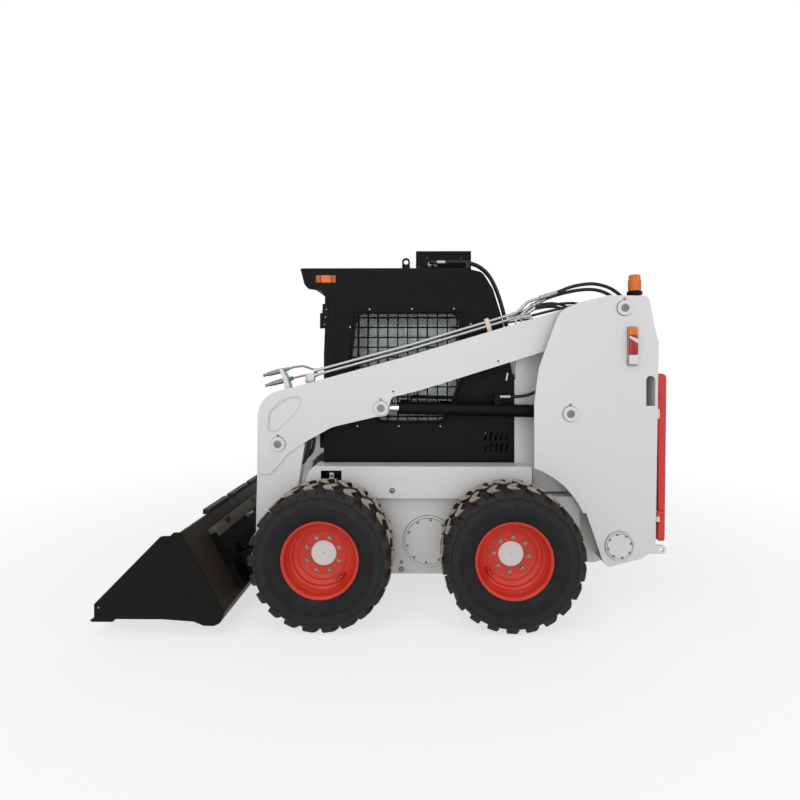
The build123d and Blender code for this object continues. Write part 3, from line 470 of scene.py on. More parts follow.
# ------------------------------------------------------------------ finishes
class Nodes:
    """A node tree, and short ways to add to it."""

    def __init__(self, tree: bpy.types.NodeTree) -> None:
        """Take hold of a tree."""
        self.tree = tree

    def add(self, kind: str, **settings: object) -> bpy.types.Node:
        """Add a node.

        Args:
            kind: the node's type.
            **settings: its settings by name.

        Returns:
            The new node.
        """
        node = self.tree.nodes.new(kind)
        for key, value in settings.items():
            setattr(node, key, value)
        return node

    def plug(self, source: Value, socket: Socket) -> None:
        """Link an output to a socket, or set the socket to a plain value.

        Args:
            source: the output or the value.
            socket: the socket that takes it.
        """
        if isinstance(source, Socket):
            self.tree.links.new(source, socket)
        else:
            socket.default_value = source

    def math(self, operation: str, first: Value, second: Value = 0.0) -> Socket:
        """Work out one sum.

        Args:
            operation: the sum's name.
            first: its first value.
            second: its second value, where it has one.

        Returns:
            The result.
        """
        node = self.add("ShaderNodeMath", operation=operation)
        self.plug(first, node.inputs[0])
        self.plug(second, node.inputs[1])
        return node.outputs[0]

    def seen(self) -> Socket:
        """Tell whether a ray sees the surround straight, in a reflection or through glass.

        Returns:
            A value that is 1 for such a ray.
        """
        rays = self.add("ShaderNodeLightPath").outputs
        through = self.math("MAXIMUM", rays["Is Camera Ray"], rays["Is Transmission Ray"])
        return self.math("MAXIMUM", through, rays["Is Glossy Ray"])

    def mix(self, share: Value, first: Socket, second: Socket, output: str) -> None:
        """Send two shaders, mixed, to the tree's output.

        Args:
            share: the second one's share.
            first: the first shader.
            second: the second shader.
            output: the name of the output node.
        """
        mixer = self.add("ShaderNodeMixShader")
        for source, socket in zip((share, first, second), mixer.inputs):
            self.plug(source, socket)
        self.plug(mixer.outputs[0], self.tree.nodes[output].inputs["Surface"])


class Graph(Nodes):
    """A material's nodes, and short ways to patterns, colour, roughness and relief."""

    def __init__(self, name: str) -> None:
        """Start a material with one glossy shader.

        Args:
            name: the material's name.
        """
        self.material = bpy.data.materials.new(name)
        self.material.use_nodes = True
        super().__init__(self.material.node_tree)
        self.shader = self.tree.nodes["Principled BSDF"]
        self.place = self.add("ShaderNodeTexCoord").outputs["Object"]

    def fix(self, **values: object) -> None:
        """Set values of the shader's sockets, with _ for each space in a socket's name."""
        for key, value in values.items():
            self.shader.inputs[key.replace("_", " ")].default_value = value

    def about(self, centre: Vector) -> Socket:
        """Measure the place from a centre.

        Args:
            centre: where it is measured from.

        Returns:
            The place.
        """
        move = self.add("ShaderNodeMapping")
        self.plug(self.place, move.inputs["Vector"])
        self.plug(-centre, move.inputs["Location"])
        return move.outputs["Vector"]

    def texture(self, kind: str, output: str, scale: float, **settings: object) -> Socket:
        """Return a pattern on the machine's own coordinates.

        Args:
            kind: the texture's type, as in the node's name.
            output: the output that is wanted.
            scale: its scale.
            **settings: its settings by name.

        Returns:
            The pattern.
        """
        node = self.add(f"ShaderNodeTex{kind}", **settings)
        self.plug(self.place, node.inputs["Vector"])
        self.plug(scale, node.inputs["Scale"])
        return node.outputs[output]

    def noise(self, scale: float, detail: float = 3) -> Socket:
        """Make a cloudy pattern from 0 to 1.

        Args:
            scale: the pattern's scale.
            detail: how fine its smallest clouds are.

        Returns:
            The pattern.
        """
        cloud = self.texture("Noise", "Fac", scale)
        self.plug(detail, cloud.node.inputs["Detail"])
        return cloud

    def span(self, value: Value, low: float, high: float, to_low: float = 0, to_high: float = 1) -> Socket:
        """Carry a value from one span to another.

        Args:
            value: the value.
            low: where the first span begins.
            high: where it ends.
            to_low: where the second span begins.
            to_high: where it ends.

        Returns:
            The value in the second span, held within it.
        """
        node = self.add("ShaderNodeMapRange")
        self.plug(value, node.inputs["Value"])
        for key, number in (("From Min", low), ("From Max", high), ("To Min", to_low), ("To Max", to_high)):
            self.plug(number, node.inputs[key])
        return node.outputs["Result"]

    def blend(self, share: Value, first: Value, second: Value) -> Socket:
        """Blend two colours.

        Args:
            share: the second one's share.
            first: the first colour.
            second: the second colour.

        Returns:
            The blended colour.
        """
        node = self.add("ShaderNodeMix", data_type="RGBA")
        self.plug(share, node.inputs["Factor"])
        for key, colour in (("A", first), ("B", second)):
            socket = [s for s in node.inputs if s.name == key and s.type == "RGBA"][0]
            self.plug((*colour, 1) if isinstance(colour, tuple) else colour, socket)
        return [s for s in node.outputs if s.type == "RGBA"][0]

    def part(self, place: Socket, axis: str) -> Socket:
        """Take one coordinate of a place.

        Args:
            place: the place.
            axis: the coordinate's name.

        Returns:
            The coordinate.
        """
        node = self.add("ShaderNodeSeparateXYZ")
        self.plug(place, node.inputs[0])
        return node.outputs[axis]

    def reach(self, place: Socket, axes: str) -> Socket:
        """Return how far a place is from the centre, along two axes."""
        parts = [self.part(place, axis) for axis in axes]
        return self.math("SQRT", self.math("ADD", *(self.math("MULTIPLY", part, part) for part in parts)))

    def colour(self, source: Value) -> None:
        """Give the shader its colour."""
        self.plug(source, self.shader.inputs["Base Color"])

    def rough(self, source: Value) -> None:
        """Give the shader its roughness."""
        self.plug(source, self.shader.inputs["Roughness"])

    def bump(self, height: Socket, strength: float, distance: float) -> None:
        """Give the shader a fine relief.

        Args:
            height: the relief's pattern.
            strength: how strong it is, from 0 to 1.
            distance: how high it is.
        """
        node = self.add("ShaderNodeBump")
        for source, key in ((strength, "Strength"), (distance, "Distance"), (height, "Height")):
            self.plug(source, node.inputs[key])
        self.plug(node.outputs["Normal"], self.shader.inputs["Normal"])


def shaded(colour: Colour, share: float) -> Colour:
    """Return a colour made darker or lighter by this factor."""
    return tuple(min(1.0, c * share) for c in colour)


DUST = (0.42, 0.37, 0.3)


@dataclass(frozen=True)
class Recipe:
    """How one finish is mixed."""

    name: str

    def compose(self, graph: Graph) -> None:
        """Lay the finish's own nodes in the graph of its material."""
        raise NotImplementedError

    def material(self) -> bpy.types.Material:
        """Mix the finish.

        Returns:
            The new material.
        """
        graph = Graph(self.name)
        self.compose(graph)
        return graph.material


@dataclass(frozen=True)
class Paint(Recipe):
    """Sprayed paint: a faint cloudiness, orange peel, and a veil of dust near the ground.

    The numbers are its roughness, then how strong the cloudiness, the orange peel, the dust, the clear coat
    and the shine are. A worn inside has its own colour, within that half width of the machine.
    """

    colour: Colour
    gloss: float
    cloud: float
    peel: float
    dust: float = 0.0
    coat: float = 0.0
    shine: float = 0.5
    inner: Optional[Colour] = None
    inner_half: float = 0.891

    def compose(self, graph: Graph) -> None:
        """Mix the paint.

        Args:
            graph: the nodes of its material.
        """
        cloud = graph.noise(1.7, 4)
        base = graph.blend(cloud, shaded(self.colour, 1 - self.cloud), shaded(self.colour, 1 + self.cloud))
        if self.inner:
            out = graph.math("ABSOLUTE", graph.part(graph.place, "Y"))
            worn = graph.blend(graph.noise(6, 6), self.inner, shaded(self.inner, 0.55))
            base = graph.blend(graph.span(out, self.inner_half, self.inner_half + 0.004), worn, base)
        low = graph.span(graph.part(graph.place, "Z"), 0.15, 0.75, self.dust, 0.0)
        veil = graph.math("MULTIPLY", low, graph.span(graph.noise(9, 6), 0.35, 0.7))
        graph.colour(graph.blend(veil, base, DUST))
        rough = graph.span(graph.noise(14, 5), 0.3, 0.7, self.gloss - 0.05, self.gloss + 0.09)
        graph.rough(graph.math("ADD", rough, graph.math("MULTIPLY", veil, 0.5)))
        graph.bump(graph.noise(420, 2), self.peel, 0.001)
        graph.fix(Metallic=0.0, Coat_Weight=self.coat, Coat_Roughness=0.12, Specular_IOR_Level=self.shine)


@dataclass(frozen=True)
class Metal(Recipe):
    """Bare or plated steel with a fine grain."""

    colour: Colour
    gloss: float = 0.3
    grain: float = 90.0

    def compose(self, graph: Graph) -> None:
        """Mix the metal.

        Args:
            graph: the nodes of its material.
        """
        grain = graph.noise(self.grain, 6)
        graph.colour(graph.blend(grain, shaded(self.colour, 0.86), shaded(self.colour, 1.1)))
        graph.rough(graph.span(grain, 0.3, 0.7, self.gloss - 0.08, self.gloss + 0.12))
        graph.bump(graph.noise(self.grain * 6, 2), 0.06, 0.0005)
        graph.fix(Metallic=1.0)


@dataclass(frozen=True)
class Rubber(Recipe):
    """Hose and mat rubber, dull with a little bloom."""

    colour: Colour
    gloss: float
    relief: float

    def compose(self, graph: Graph) -> None:
        """Mix the rubber.

        Args:
            graph: the nodes of its material.
        """
        bloom = graph.noise(22, 6)
        graph.colour(graph.blend(bloom, self.colour, shaded(self.colour, 2.1)))
        graph.rough(graph.span(bloom, 0.3, 0.7, self.gloss, self.gloss + 0.15))
        graph.bump(graph.noise(self.relief, 3), 0.15, 0.0008)
        graph.fix(Metallic=0.0, Specular_IOR_Level=0.3)


@dataclass(frozen=True)
class TyreRubber(Recipe):
    """A tyre's rubber: dark sidewall, a band under the browned shoulder painted lighter as the sheen of
    smoother rubber, and dusty lug tops.

    The three pairs are radii, where each of these begins and ends.
    """

    centre: Vector
    band: Row = (0.311, 0.354)
    shoulder: Row = (0.357, 0.364)
    tread: Row = (0.405, 0.412)

    def compose(self, graph: Graph) -> None:
        """Mix the rubber about the wheel's own centre.

        Args:
            graph: the nodes of its material.
        """
        radius = graph.reach(graph.about(self.centre), "XZ")
        grime = graph.noise(16, 7)
        base = graph.blend(grime, (0.003, 0.0029, 0.0036), (0.0085, 0.0078, 0.0092))
        # the band's lighter colour is a painted sheen; its roughness is not changed
        begins, ends = (graph.span(radius, edge, edge + 0.003) for edge in self.band)
        band = graph.math("MULTIPLY", graph.math("SUBTRACT", begins, ends), 0.85)
        banded = graph.blend(band, base, (0.0125, 0.0122, 0.0152))
        brown = graph.span(grime, 0.36, 0.7, 0.2, 0.6)
        brown = graph.math("MULTIPLY", graph.span(radius, *self.shoulder), brown)
        browned = graph.blend(brown, banded, (0.038, 0.031, 0.025))
        dusty = graph.span(graph.noise(45, 5), 0.28, 0.5, 0.55, 1.0)
        top = graph.math("MULTIPLY", graph.span(radius, *self.tread), dusty)
        graph.colour(graph.blend(top, browned, (0.4, 0.345, 0.28)))
        graph.rough(graph.span(grime, 0.3, 0.7, 0.52, 0.8))
        graph.bump(graph.noise(260, 4), 0.2, 0.001)
        graph.fix(Metallic=0.0, Specular_IOR_Level=0.22)


@dataclass(frozen=True)
class Lens(Recipe):
    """Coloured lamp plastic with moulded prisms behind a smooth face."""

    colour: Colour
    prisms: float = 160.0
    glow: float = 0.05

    def compose(self, graph: Graph) -> None:
        """Mix the plastic.

        Args:
            graph: the nodes of its material.
        """
        waves = graph.texture("Wave", "Fac", self.prisms, bands_direction="Z")
        graph.colour(graph.blend(waves, shaded(self.colour, 0.8), self.colour))
        graph.rough(graph.span(graph.noise(40), 0.3, 0.7, 0.12, 0.2))
        graph.bump(waves, 0.12, 0.001)
        graph.fix(Metallic=0.0, Coat_Weight=0.2, Coat_Roughness=0.05, Specular_IOR_Level=0.3)
        graph.fix(Emission_Color=(*self.colour, 1), Emission_Strength=self.glow)


@dataclass(frozen=True)
class Pane(Recipe):
    """A thin clear pane with a breath of dirt."""

    tint: Colour = (0.27, 0.31, 0.29)

    def compose(self, graph: Graph) -> None:
        """Mix the glass.

        Args:
            graph: the nodes of its material.
        """
        smear = graph.noise(2.2, 2)
        graph.colour(graph.blend(smear, shaded(self.tint, 0.8), shaded(self.tint, 1.25)))
        graph.rough(graph.span(smear, 0.4, 0.7, 0.01, 0.03))
        graph.fix(Metallic=0.0, Transmission_Weight=1.0, IOR=1.45, Coat_Weight=0.3, Alpha=0.8)


@dataclass(frozen=True)
class Vinyl(Recipe):
    """Grained seat vinyl."""

    colour: Colour = (0.018, 0.018, 0.02)

    def compose(self, graph: Graph) -> None:
        """Mix the vinyl.

        Args:
            graph: the nodes of its material.
        """
        cells = graph.texture("Voronoi", "Distance", 320, feature="DISTANCE_TO_EDGE")
        rubbed = graph.noise(5, 4)
        graph.colour(graph.blend(rubbed, self.colour, shaded(self.colour, 1.9)))
        graph.rough(graph.span(rubbed, 0.3, 0.7, 0.42, 0.6))
        graph.bump(cells, 0.3, 0.001)
        graph.fix(Metallic=0.0)


@cache
def mixed(recipe: Recipe) -> bpy.types.Material:
    """Mix a finish the first time that it is asked for, and return it each time."""
    return recipe.material()


class Finish(Enum):
    """Every finish of the machine: the slot that it fills and its recipe."""

    WHITE = "white_paint", Paint("white_gloss", (0.6, 0.592, 0.586), 0.36, 0.012, 0.03, 0.06, 0.1)
    BLACK = "black_paint", Paint("cab_black", (0.0025, 0.0027, 0.0034), 0.46, 0.15, 0.25, 0.012, 0, 0.1)
    BUCKET = "bucket_paint", Paint(
        "bucket_black", (0.0032, 0.0027, 0.0025), 0.46, 0.3, 0.2, 0.008, 0, 0.12, (0.035, 0.028, 0.022)
    )
    SCUFFED = "black_paint", Paint("carrier_edge", (0.088, 0.077, 0.066), 0.5, 0.4, 0.2, shine=0.2)
    # dark grey that paints the shadow round covers and collars and the shade in grooves and holes, and is the
    # real colour of the panel seams and the roof unit's screws
    DARK = "black_paint", Paint("painted_shade_and_seam_grey", (0.045, 0.045, 0.046), 0.6, 0.1, 0.1, shine=0.2)
    RED = "red_paint", Paint("rim_red", (0.52, 0.028, 0.013), 0.3, 0.05, 0.03, 0.03, 0.08, 0.3)
    TAIL_RED = "red_paint", Paint("tail_red", (0.54, 0.032, 0.028), 0.36, 0.03, 0.03, 0.04, 0.1, 0.35)
    NYLON = "zinc_steel", Paint("clamp_nylon", (0.62, 0.53, 0.4), 0.5, 0.05, 0.1)
    TEAL = "zinc_steel", Paint("cap_green", (0.03, 0.16, 0.115), 0.5, 0.05, 0.05, coat=0.1)
    ZINC = "zinc_steel", Metal("zinc_plate", (0.36, 0.37, 0.37), 0.34)
    STEEL = "zinc_steel", Metal("pin_steel", (0.19, 0.19, 0.185), 0.36)
    GOLD = "zinc_steel", Metal("yellow_zinc", (0.26, 0.22, 0.16), 0.28)
    CHROME = "rod_chrome", Metal("rod_chrome", (0.78, 0.79, 0.8), 0.12, 30)
    IRON = "engine_iron", Metal("cast_iron", (0.2, 0.2, 0.21), 0.62, 40)
    HOSE = "hose_rubber", Rubber("hose_rubber", (0.006, 0.006, 0.007), 0.5, 300)
    MAT = "floor_mat", Rubber("floor_mat", (0.03, 0.03, 0.03), 0.7, 120)
    AMBER = "lamp_plastic", Lens("amber_lens", (0.66, 0.14, 0.006))
    EMBER = "lamp_plastic", Lens("dark_amber_lens", (0.36, 0.068, 0.006))
    RUBY = "lamp_plastic", Lens("red_lens", (0.36, 0.004, 0.02))
    CLEAR = "lamp_plastic", Lens("clear_lens", (0.62, 0.62, 0.6))
    PANE = "window_glass", Pane("window_pane")
    VINYL = "seat_vinyl", Vinyl("seat_vinyl_grain")

    @property
    def slot(self) -> str:
        """Return the slot that the finish fills."""
        return self.value[0]

    @property
    def material(self) -> bpy.types.Material:
        """Return the finish's material."""
        return mixed(self.value[1])


@dataclass(frozen=True)
class Dress:
    """What one finished piece wears and rides on."""

    body: str
    slot: str
    material: bpy.types.Material

    def put_on(self, name: str, obj: Piece, *replaced: str) -> None:
        """Give a piece its name, its finish, its body and the CAD nodes that it stands for.

        Args:
            name: the piece's plain name.
            obj: the finished piece.
            *replaced: the nodes that it replaces.
        """
        obj.name = obj.data.name = name
        obj.data.materials.clear()
        obj.data.materials.append(self.material)
        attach(obj, self.body)
        self.slot
        if replaced:
            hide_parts(*replaced)
        LOG.info("%s: %d faces on %s", obj.name, len(obj.data.polygons), self.body)


def repaint(finish: Finish, *nodes: str) -> None:
    """Give carried-over CAD nodes a finish.

    Args:
        finish: the finish.
        *nodes: the nodes.
    """
    for node in nodes:
        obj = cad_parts[node]
        if not obj.material_slots:
            obj.data.materials.append(finish.material)
        for holder in obj.material_slots:
            holder.material = finish.material


@dataclass
class Assembly:
    """What every sub-assembly shares: the body that its pieces ride on, and how they are dressed."""

    body: str = "chassis"

    def dress(
        self, finish: Finish, name: str, obj: Piece, *replaced: str, body: str = "", slot: str = ""
    ) -> None:
        """Dress one piece.

        Args:
            finish: what it wears.
            name: its plain name.
            obj: the finished piece.
            *replaced: the CAD nodes that it replaces.
            body: the body that it rides on, where it isn't the sub-assembly's own.
            slot: the slot that it fills, where it isn't the finish's own; it is kept on the dress but not
                applied.
        """
        Dress(body or self.body, slot or finish.slot, finish.material).put_on(name, obj, *replaced)


# ------------------------------------------------------------------ wheels
@dataclass
class Wheels(Assembly):
    """Four tyres with bent lugs, on deep stepped rims with their bolts and valves."""

    tread_radius: float = 0.415
    # half of the tyre's section without its lugs, as (radius, distance from the middle)
    carcass: tuple[Row, ...] = (
        (0.2106, 0.115), (0.2238, 0.1163), (0.2245, 0.1305), (0.232, 0.137), (0.25, 0.146), (0.276, 0.1515),
        (0.3085, 0.1532), (0.3115, 0.1515), (0.332, 0.1512), (0.353, 0.149), (0.355, 0.1508),
        (0.3585, 0.1508), (0.3605, 0.1478), (0.369, 0.145), (0.379, 0.138), (0.387, 0.122), (0.391, 0.095),
        (0.3925, 0.045), (0.393, 0.0),
    )
    # columns: distance from the middle, where along the tread, half width, base radius, top radius
    lug: tuple[tuple[float, float, float, float, float], ...] = (
        (0.008, -0.022, 0.015, 0.385, 0.4145), (0.04, -0.002, 0.021, 0.385, 0.415),
        (0.068, 0.017, 0.026, 0.383, 0.415), (0.092, 0.015, 0.028, 0.378, 0.414),
        (0.12, -0.002, 0.03, 0.366, 0.4105), (0.139, -0.016, 0.031, 0.352, 0.402),
        (0.1495, -0.023, 0.03, 0.362, 0.383),
    )
    lugs_each_side: int = 22
    # the rim's section, as (radius, distance out of the wheel's middle)
    rim: tuple[Row, ...] = (
        (0.2225, 0.1285), (0.2225, 0.1225), (0.2095, 0.1165), (0.2095, 0.08), (0.1855, 0.055),
        (0.1855, -0.0415), (0.2095, -0.0665), (0.2095, -0.1165), (0.2225, -0.1215), (0.2225, -0.1285),
        (0.2145, -0.1285), (0.203, -0.1115), (0.203, -0.0695), (0.179, -0.0445), (0.179, -0.0215),
        (0.15, 0.006), (0.077, 0.006), (0.077, 0.018), (0.128, 0.018), (0.1335, 0.0195), (0.1385, 0.0245),
        (0.1445, 0.0255), (0.1475, 0.029), (0.1505, 0.0335), (0.1565, 0.035), (0.16, 0.038),
        (0.1635, 0.0415), (0.1695, 0.043), (0.1735, 0.048), (0.1775, 0.0575), (0.185, 0.062),
        (0.1905, 0.07), (0.1945, 0.08), (0.201, 0.086), (0.203, 0.093), (0.2035, 0.1115), (0.2075, 0.1235),
        (0.2145, 0.1285),
    )
    # the sections of the valve's stem, from its seat, and of the hub cap
    stem_seat: Point = (0.16, 0.03, 0)
    stem: tuple[Row, ...] = (
        (0, 0), (0.0085, 0), (0.0085, 0.032), (0.0055, 0.038), (0.0055, 0.052), (0, 0.054),
    )
    cap: tuple[Row, ...] = (
        (0, -0.03), (0.0762, -0.03), (0.0762, 0.0055), (0.0735, 0.0075), (0.004, 0.0075), (0.003, 0.0065),
        (0, 0.0065),
    )
    disc_out: float = 0.018
    bolts: int = 8
    bolt_circle: float = 0.1016
    # the axle, then the angles in degrees of its wheels' first bolt and of their valve
    axles: tuple[tuple[str, float, float], ...] = (("rear", 39.0, 34.0), ("front", 22.5, 132.0))
    roll: float = 0.4

    def wrapped(self, along: float, out: float, radius: float) -> Vector:
        """Wrap a point of the flat tread round the wheel, from its top forwards."""
        angle = along / self.tread_radius
        return Vector((radius * math.sin(angle), out, radius * math.cos(angle)))

    def master_lug(self) -> Piece:
        """Model one lug at the top of the wheel, on its outer half.

        Returns:
            The lug.
        """
        sections = []
        for out, along, half, base, top in self.lug:
            crest = half * 0.9
            corners = ((along - half, base), (along + half, base), (along + crest, top), (along - crest, top))
            sections.append([self.wrapped(s, out, radius) for s, radius in corners])
        return softened(lofted(sections), 0.0022, 1, 30)

    def master_tyre(self) -> Piece:
        """Model the whole tyre about the origin.

        Returns:
            The tyre.
        """
        rows = [*self.carcass, *((radius, -out) for radius, out in reversed(self.carcass[:-1]))]
        body = turned(rows, Vector(), 96, ring=True)
        pitch = 360 / self.lugs_each_side
        places = []
        for step in range(self.lugs_each_side):
            places.append(turn_about(Vector(), pitch * step))
            places.append(turn_about(Vector(), pitch * (step + 0.5)) @ MIRROR)
        return joined([body, *spread(self.master_lug(), places)])

    def master_guard(self) -> Piece:
        """Model the looped guard that stands round the valve on the rim's step.

        Returns:
            The guard.
        """
        reach, low, high, half = 0.158, 0.03, 0.082, 0.026
        bends = ((low, -half), (high, -half), (high + 0.006, 0.0), (high, half), (low, half))
        return tube([Vector((reach, out, along)) for out, along in bends], 0.0058)

    def masters(self) -> dict[str, Piece]:
        """Model what all four wheels share, about the origin, by the names of their pieces.

        Returns:
            The master pieces by their names.
        """
        return {
            "lugged_tyre": self.master_tyre(),
            "stepped_rim": turned(self.rim, Vector(), 96, ring=True),
            "valve_guard": self.master_guard(),
            "valve_stem": turned(self.stem, Vector(self.stem_seat), 16),
            "hub_cap": turned(self.cap, Vector(), 64),
        }

    def master_nuts(self, phase: float) -> Piece:
        """Model an axle's wheel bolts with their studs, and the punch mark in the middle of the hub cap.

        Args:
            phase: the first bolt's angle in degrees.

        Returns:
            All of them as one piece.
        """
        circle = []
        for out, size in ((0.0, (0.0107, 0.014)), (0.01, (0.005, 0.012))):
            seat = Vector((0, self.disc_out + out, 0))
            circle.append(bolt_circle(seat, self.bolt_circle, self.bolts, phase, size))
        punch = turned([(0, 0.0066), (0.0034, 0.0066), (0.0034, 0.0079), (0, 0.0079)], Vector(), 16)
        return joined([*circle, punch])

    def wheel(self, masters: dict[str, Piece], end: str, side: Side, phase: float, valve: float) -> None:
        """Lay the master pieces at one wheel and dress them.

        Args:
            masters: the master pieces by their names.
            end: the wheel's axle.
            side: the wheel's side.
            phase: the first bolt's angle in degrees.
            valve: the valve's angle in degrees.
        """
        tail = f"{end}_{side.value}"
        centre = middle_of(f"tyre_{tail}")
        place = Matrix.Translation(centre)
        rolled = place @ Matrix.Rotation(math.radians(phase * self.roll), 4, "Y")
        facing = place @ Matrix.Rotation(0 if side is Side.LEFT else math.pi, 4, "Z")
        at_valve = facing @ Matrix.Rotation(math.radians(valve), 4, "Y")
        worn = Dress(f"wheel_{tail}", "tyre_rubber", TyreRubber(f"tyre_rubber_{tail}", centre).material())
        worn.put_on(f"lugged_tyre_{tail}", copied(masters["lugged_tyre"], rolled), f"tyre_{tail}")
        for name, turn, finish, *replaced in (
            ("stepped_rim", facing, Finish.RED, f"rim_{tail}"), ("valve_guard", at_valve, Finish.RED),
            ("valve_stem", at_valve, Finish.GOLD), ("hub_cap", facing, Finish.WHITE),
            ("wheel_nuts", facing, Finish.GOLD),
        ):
            piece = copied(masters[name], turn)
            self.dress(finish, f"{name}_{tail}", piece, *replaced, body=f"wheel_{tail}")

    def build(self) -> None:
        """Build, place and dress the four wheels."""
        masters = self.masters()
        for end, phase, valve in self.axles:
            masters["wheel_nuts"] = self.master_nuts(phase)
            for side in Side:
                self.wheel(masters, end, side, phase, valve)
            bpy.data.objects.remove(masters.pop("wheel_nuts"))
        for master in masters.values():
            bpy.data.objects.remove(master)


# ------------------------------------------------------------------ chassis and towers
@dataclass(frozen=True)
class Cover:
    """A round cover: its place, the face that it is on, its radius and how many bolts hold it."""

    name: str
    place: Row
    face: float
    radius: float
    bolts: int


@dataclass
class Chassis(Assembly):
    """Round covers with their bolts, pin ends, tail lamps, beacon and the other fittings of the frame."""

    case_face: float = 0.5
    skin_face: float = 0.62
    ledge_face: float = 0.55
    covers: tuple[Cover, ...] = (
        Cover("chaincase_covers", (0.483, 0.405), 0.5, 0.16, 10),
        Cover("tower_foot_covers", (-0.68, 0.421), 0.62, 0.086, 8),
    )
    cover_thick: float = 0.0095
    pins: tuple[Row, ...] = ((-0.713, 1.872), (-0.384, 1.226))
    collar_radius: float = 0.046
    ledge_plug: Row = (0.71, 0.736)
    drain_x: float = 0.654
    # z and radius of the level plug and of the drain plug
    drains: tuple[Row, ...] = ((0.268, 0.009), (0.222, 0.014))
    cheek: tuple[Row, ...] = (
        (-0.086, 1.4), (-0.086, 1.583), (-0.224, 1.583), (-0.188, 1.49), (-0.188, 1.4),
    )
    cheek_y: Row = (0.4052, 0.4197)
    lamp_x: Row = (-0.788, -0.727)
    lamp_z: Row = (1.52, 1.757)
    beacon_y: float = 0.54
    beacon_ribs: int = 24

    def cover(self, cover: Cover) -> None:
        """Model a round cover with a raised rim, and its bolts.

        Args:
            cover: the cover's place and sizes.
        """
        (x, z), radius, thick = cover.place, cover.radius, self.cover_thick
        centre = at(x, cover.face, z)
        rim = radius * 0.94
        rows = [
            (0, 0), (radius + 0.001, 0), (radius + 0.001, 0.01), (radius - 0.003, 0.015), (rim, 0.015),
            (rim - 0.004, thick), (0, thick),
        ]
        plate = turned(rows, centre, 72)
        seat = centre + Vector((0, thick, 0))
        heads = bolt_circle(seat, radius * 0.84, cover.bolts, 12, (0.0062, 0.005))
        self.dress(Finish.STEEL, f"{cover.name}_bolts", both_sides(heads))
        self.dress(Finish.WHITE, cover.name, both_sides(plate))

    def painted_shade_rings(self) -> Piece:
        """Model the dark rings of painted contact shadow round the covers and the collars, and of painted
        shade in the covers' grooves.

        Returns:
            The rings as one piece.
        """
        # dark rings of painted contact shadow round each cover and collar, and of painted shade in each
        # cover's groove
        rings = [(*cover.place, cover.face, band(cover.radius, 0.003, 0, 0.0012)) for cover in self.covers]
        rings += [(x, z, self.skin_face, band(self.collar_radius, 0.003, 0, 0.0012)) for x, z in self.pins]
        for cover in self.covers:
            groove = cover.radius * 0.94 - 0.0058
            rings.append((*cover.place, cover.face, band(groove, 0.0016, 0.0094, 0.01)))
        pieces = (turned(rows, at(x, face, z), 72, ring=True) for x, z, face, rows in rings)
        return both_sides(*pieces)

    def seams(self) -> Piece:
        """Model the dark lines where the side's panels meet.

        Returns:
            The lines as one piece.
        """
        ledge, case = self.ledge_face, self.case_face
        return both_sides(
            brick((-0.1685, -0.1655), (ledge - 0.002, ledge + 0.0006), (0.74, 0.893), 0.0003),
            brick((-0.16, 1.2), (case, case + 0.0014), (0.6875, 0.6905), 0.0003),
        )

    def painted_recess_shade(self) -> Piece:
        """Model the dark plates of painted shade inside the tie-down recess of the ledge.

        Returns:
            The plates as one piece.
        """
        # thin black plates that paint the shade inside the recess
        x, y, z = (1.0285, 1.1575), (self.ledge_face - 0.0585, self.ledge_face - 0.001), (0.7815, 0.8605)
        thick = 0.0015
        plates = (
            (x, (y[0], y[0] + 0.002), z), ((x[0], x[0] + thick), y, z),
            ((x[1] - thick, x[1]), y, z), (x, y, (z[1] - thick, z[1])),
        )
        return both_sides(*(brick(*plate, 0.0005) for plate in plates))

    def drain_plugs(self) -> Piece:
        """Model the drain plug and the level plug low on the chaincase.

        Returns:
            The plugs as one piece.
        """
        heads = []
        for z, radius in self.drains:
            heads.append(bolt(at(self.drain_x, self.case_face, z), radius, 0.006))
        return both_sides(*heads)

    def tail_lamp(self) -> None:
        """Model the upright lamp cluster: amber, red and clear panes in a grey tray, with a white streak of
        painted reflection across the red.
        """
        (left, right), (foot, top), y = self.lamp_x, self.lamp_z, self.skin_face
        tray = brick(self.lamp_x, (y, y + 0.012), self.lamp_z, 0.004)
        self.dress(Finish.STEEL, "lamp_tray", both_sides(tray), "tail_lamps", slot="lamp_plastic")
        left, right = left + 0.004, right - 0.004
        panes = (
            (Finish.CLEAR, foot + 0.006, foot + 0.066), (Finish.RUBY, foot + 0.066, foot + 0.183),
            (Finish.AMBER, foot + 0.183, top - 0.006),
        )
        for tone, low, high in panes:
            pane = brick((left, right), (y + 0.008, y + 0.029), (low + 0.001, high - 0.001), 0.004)
            self.dress(tone, f"lamp_{tone.name.lower()}", both_sides(pane))
        # a slanted white streak across the red pane: a painted reflection
        low, high = foot + 0.155, foot + 0.181
        outline = [(left, low - 0.022), (right, low + 0.012), (right, high), (left, low + 0.004)]
        self.dress(Finish.CLEAR, "lamp_reflection_streak", both_sides(slab(outline, y + 0.0285, y + 0.0297)))

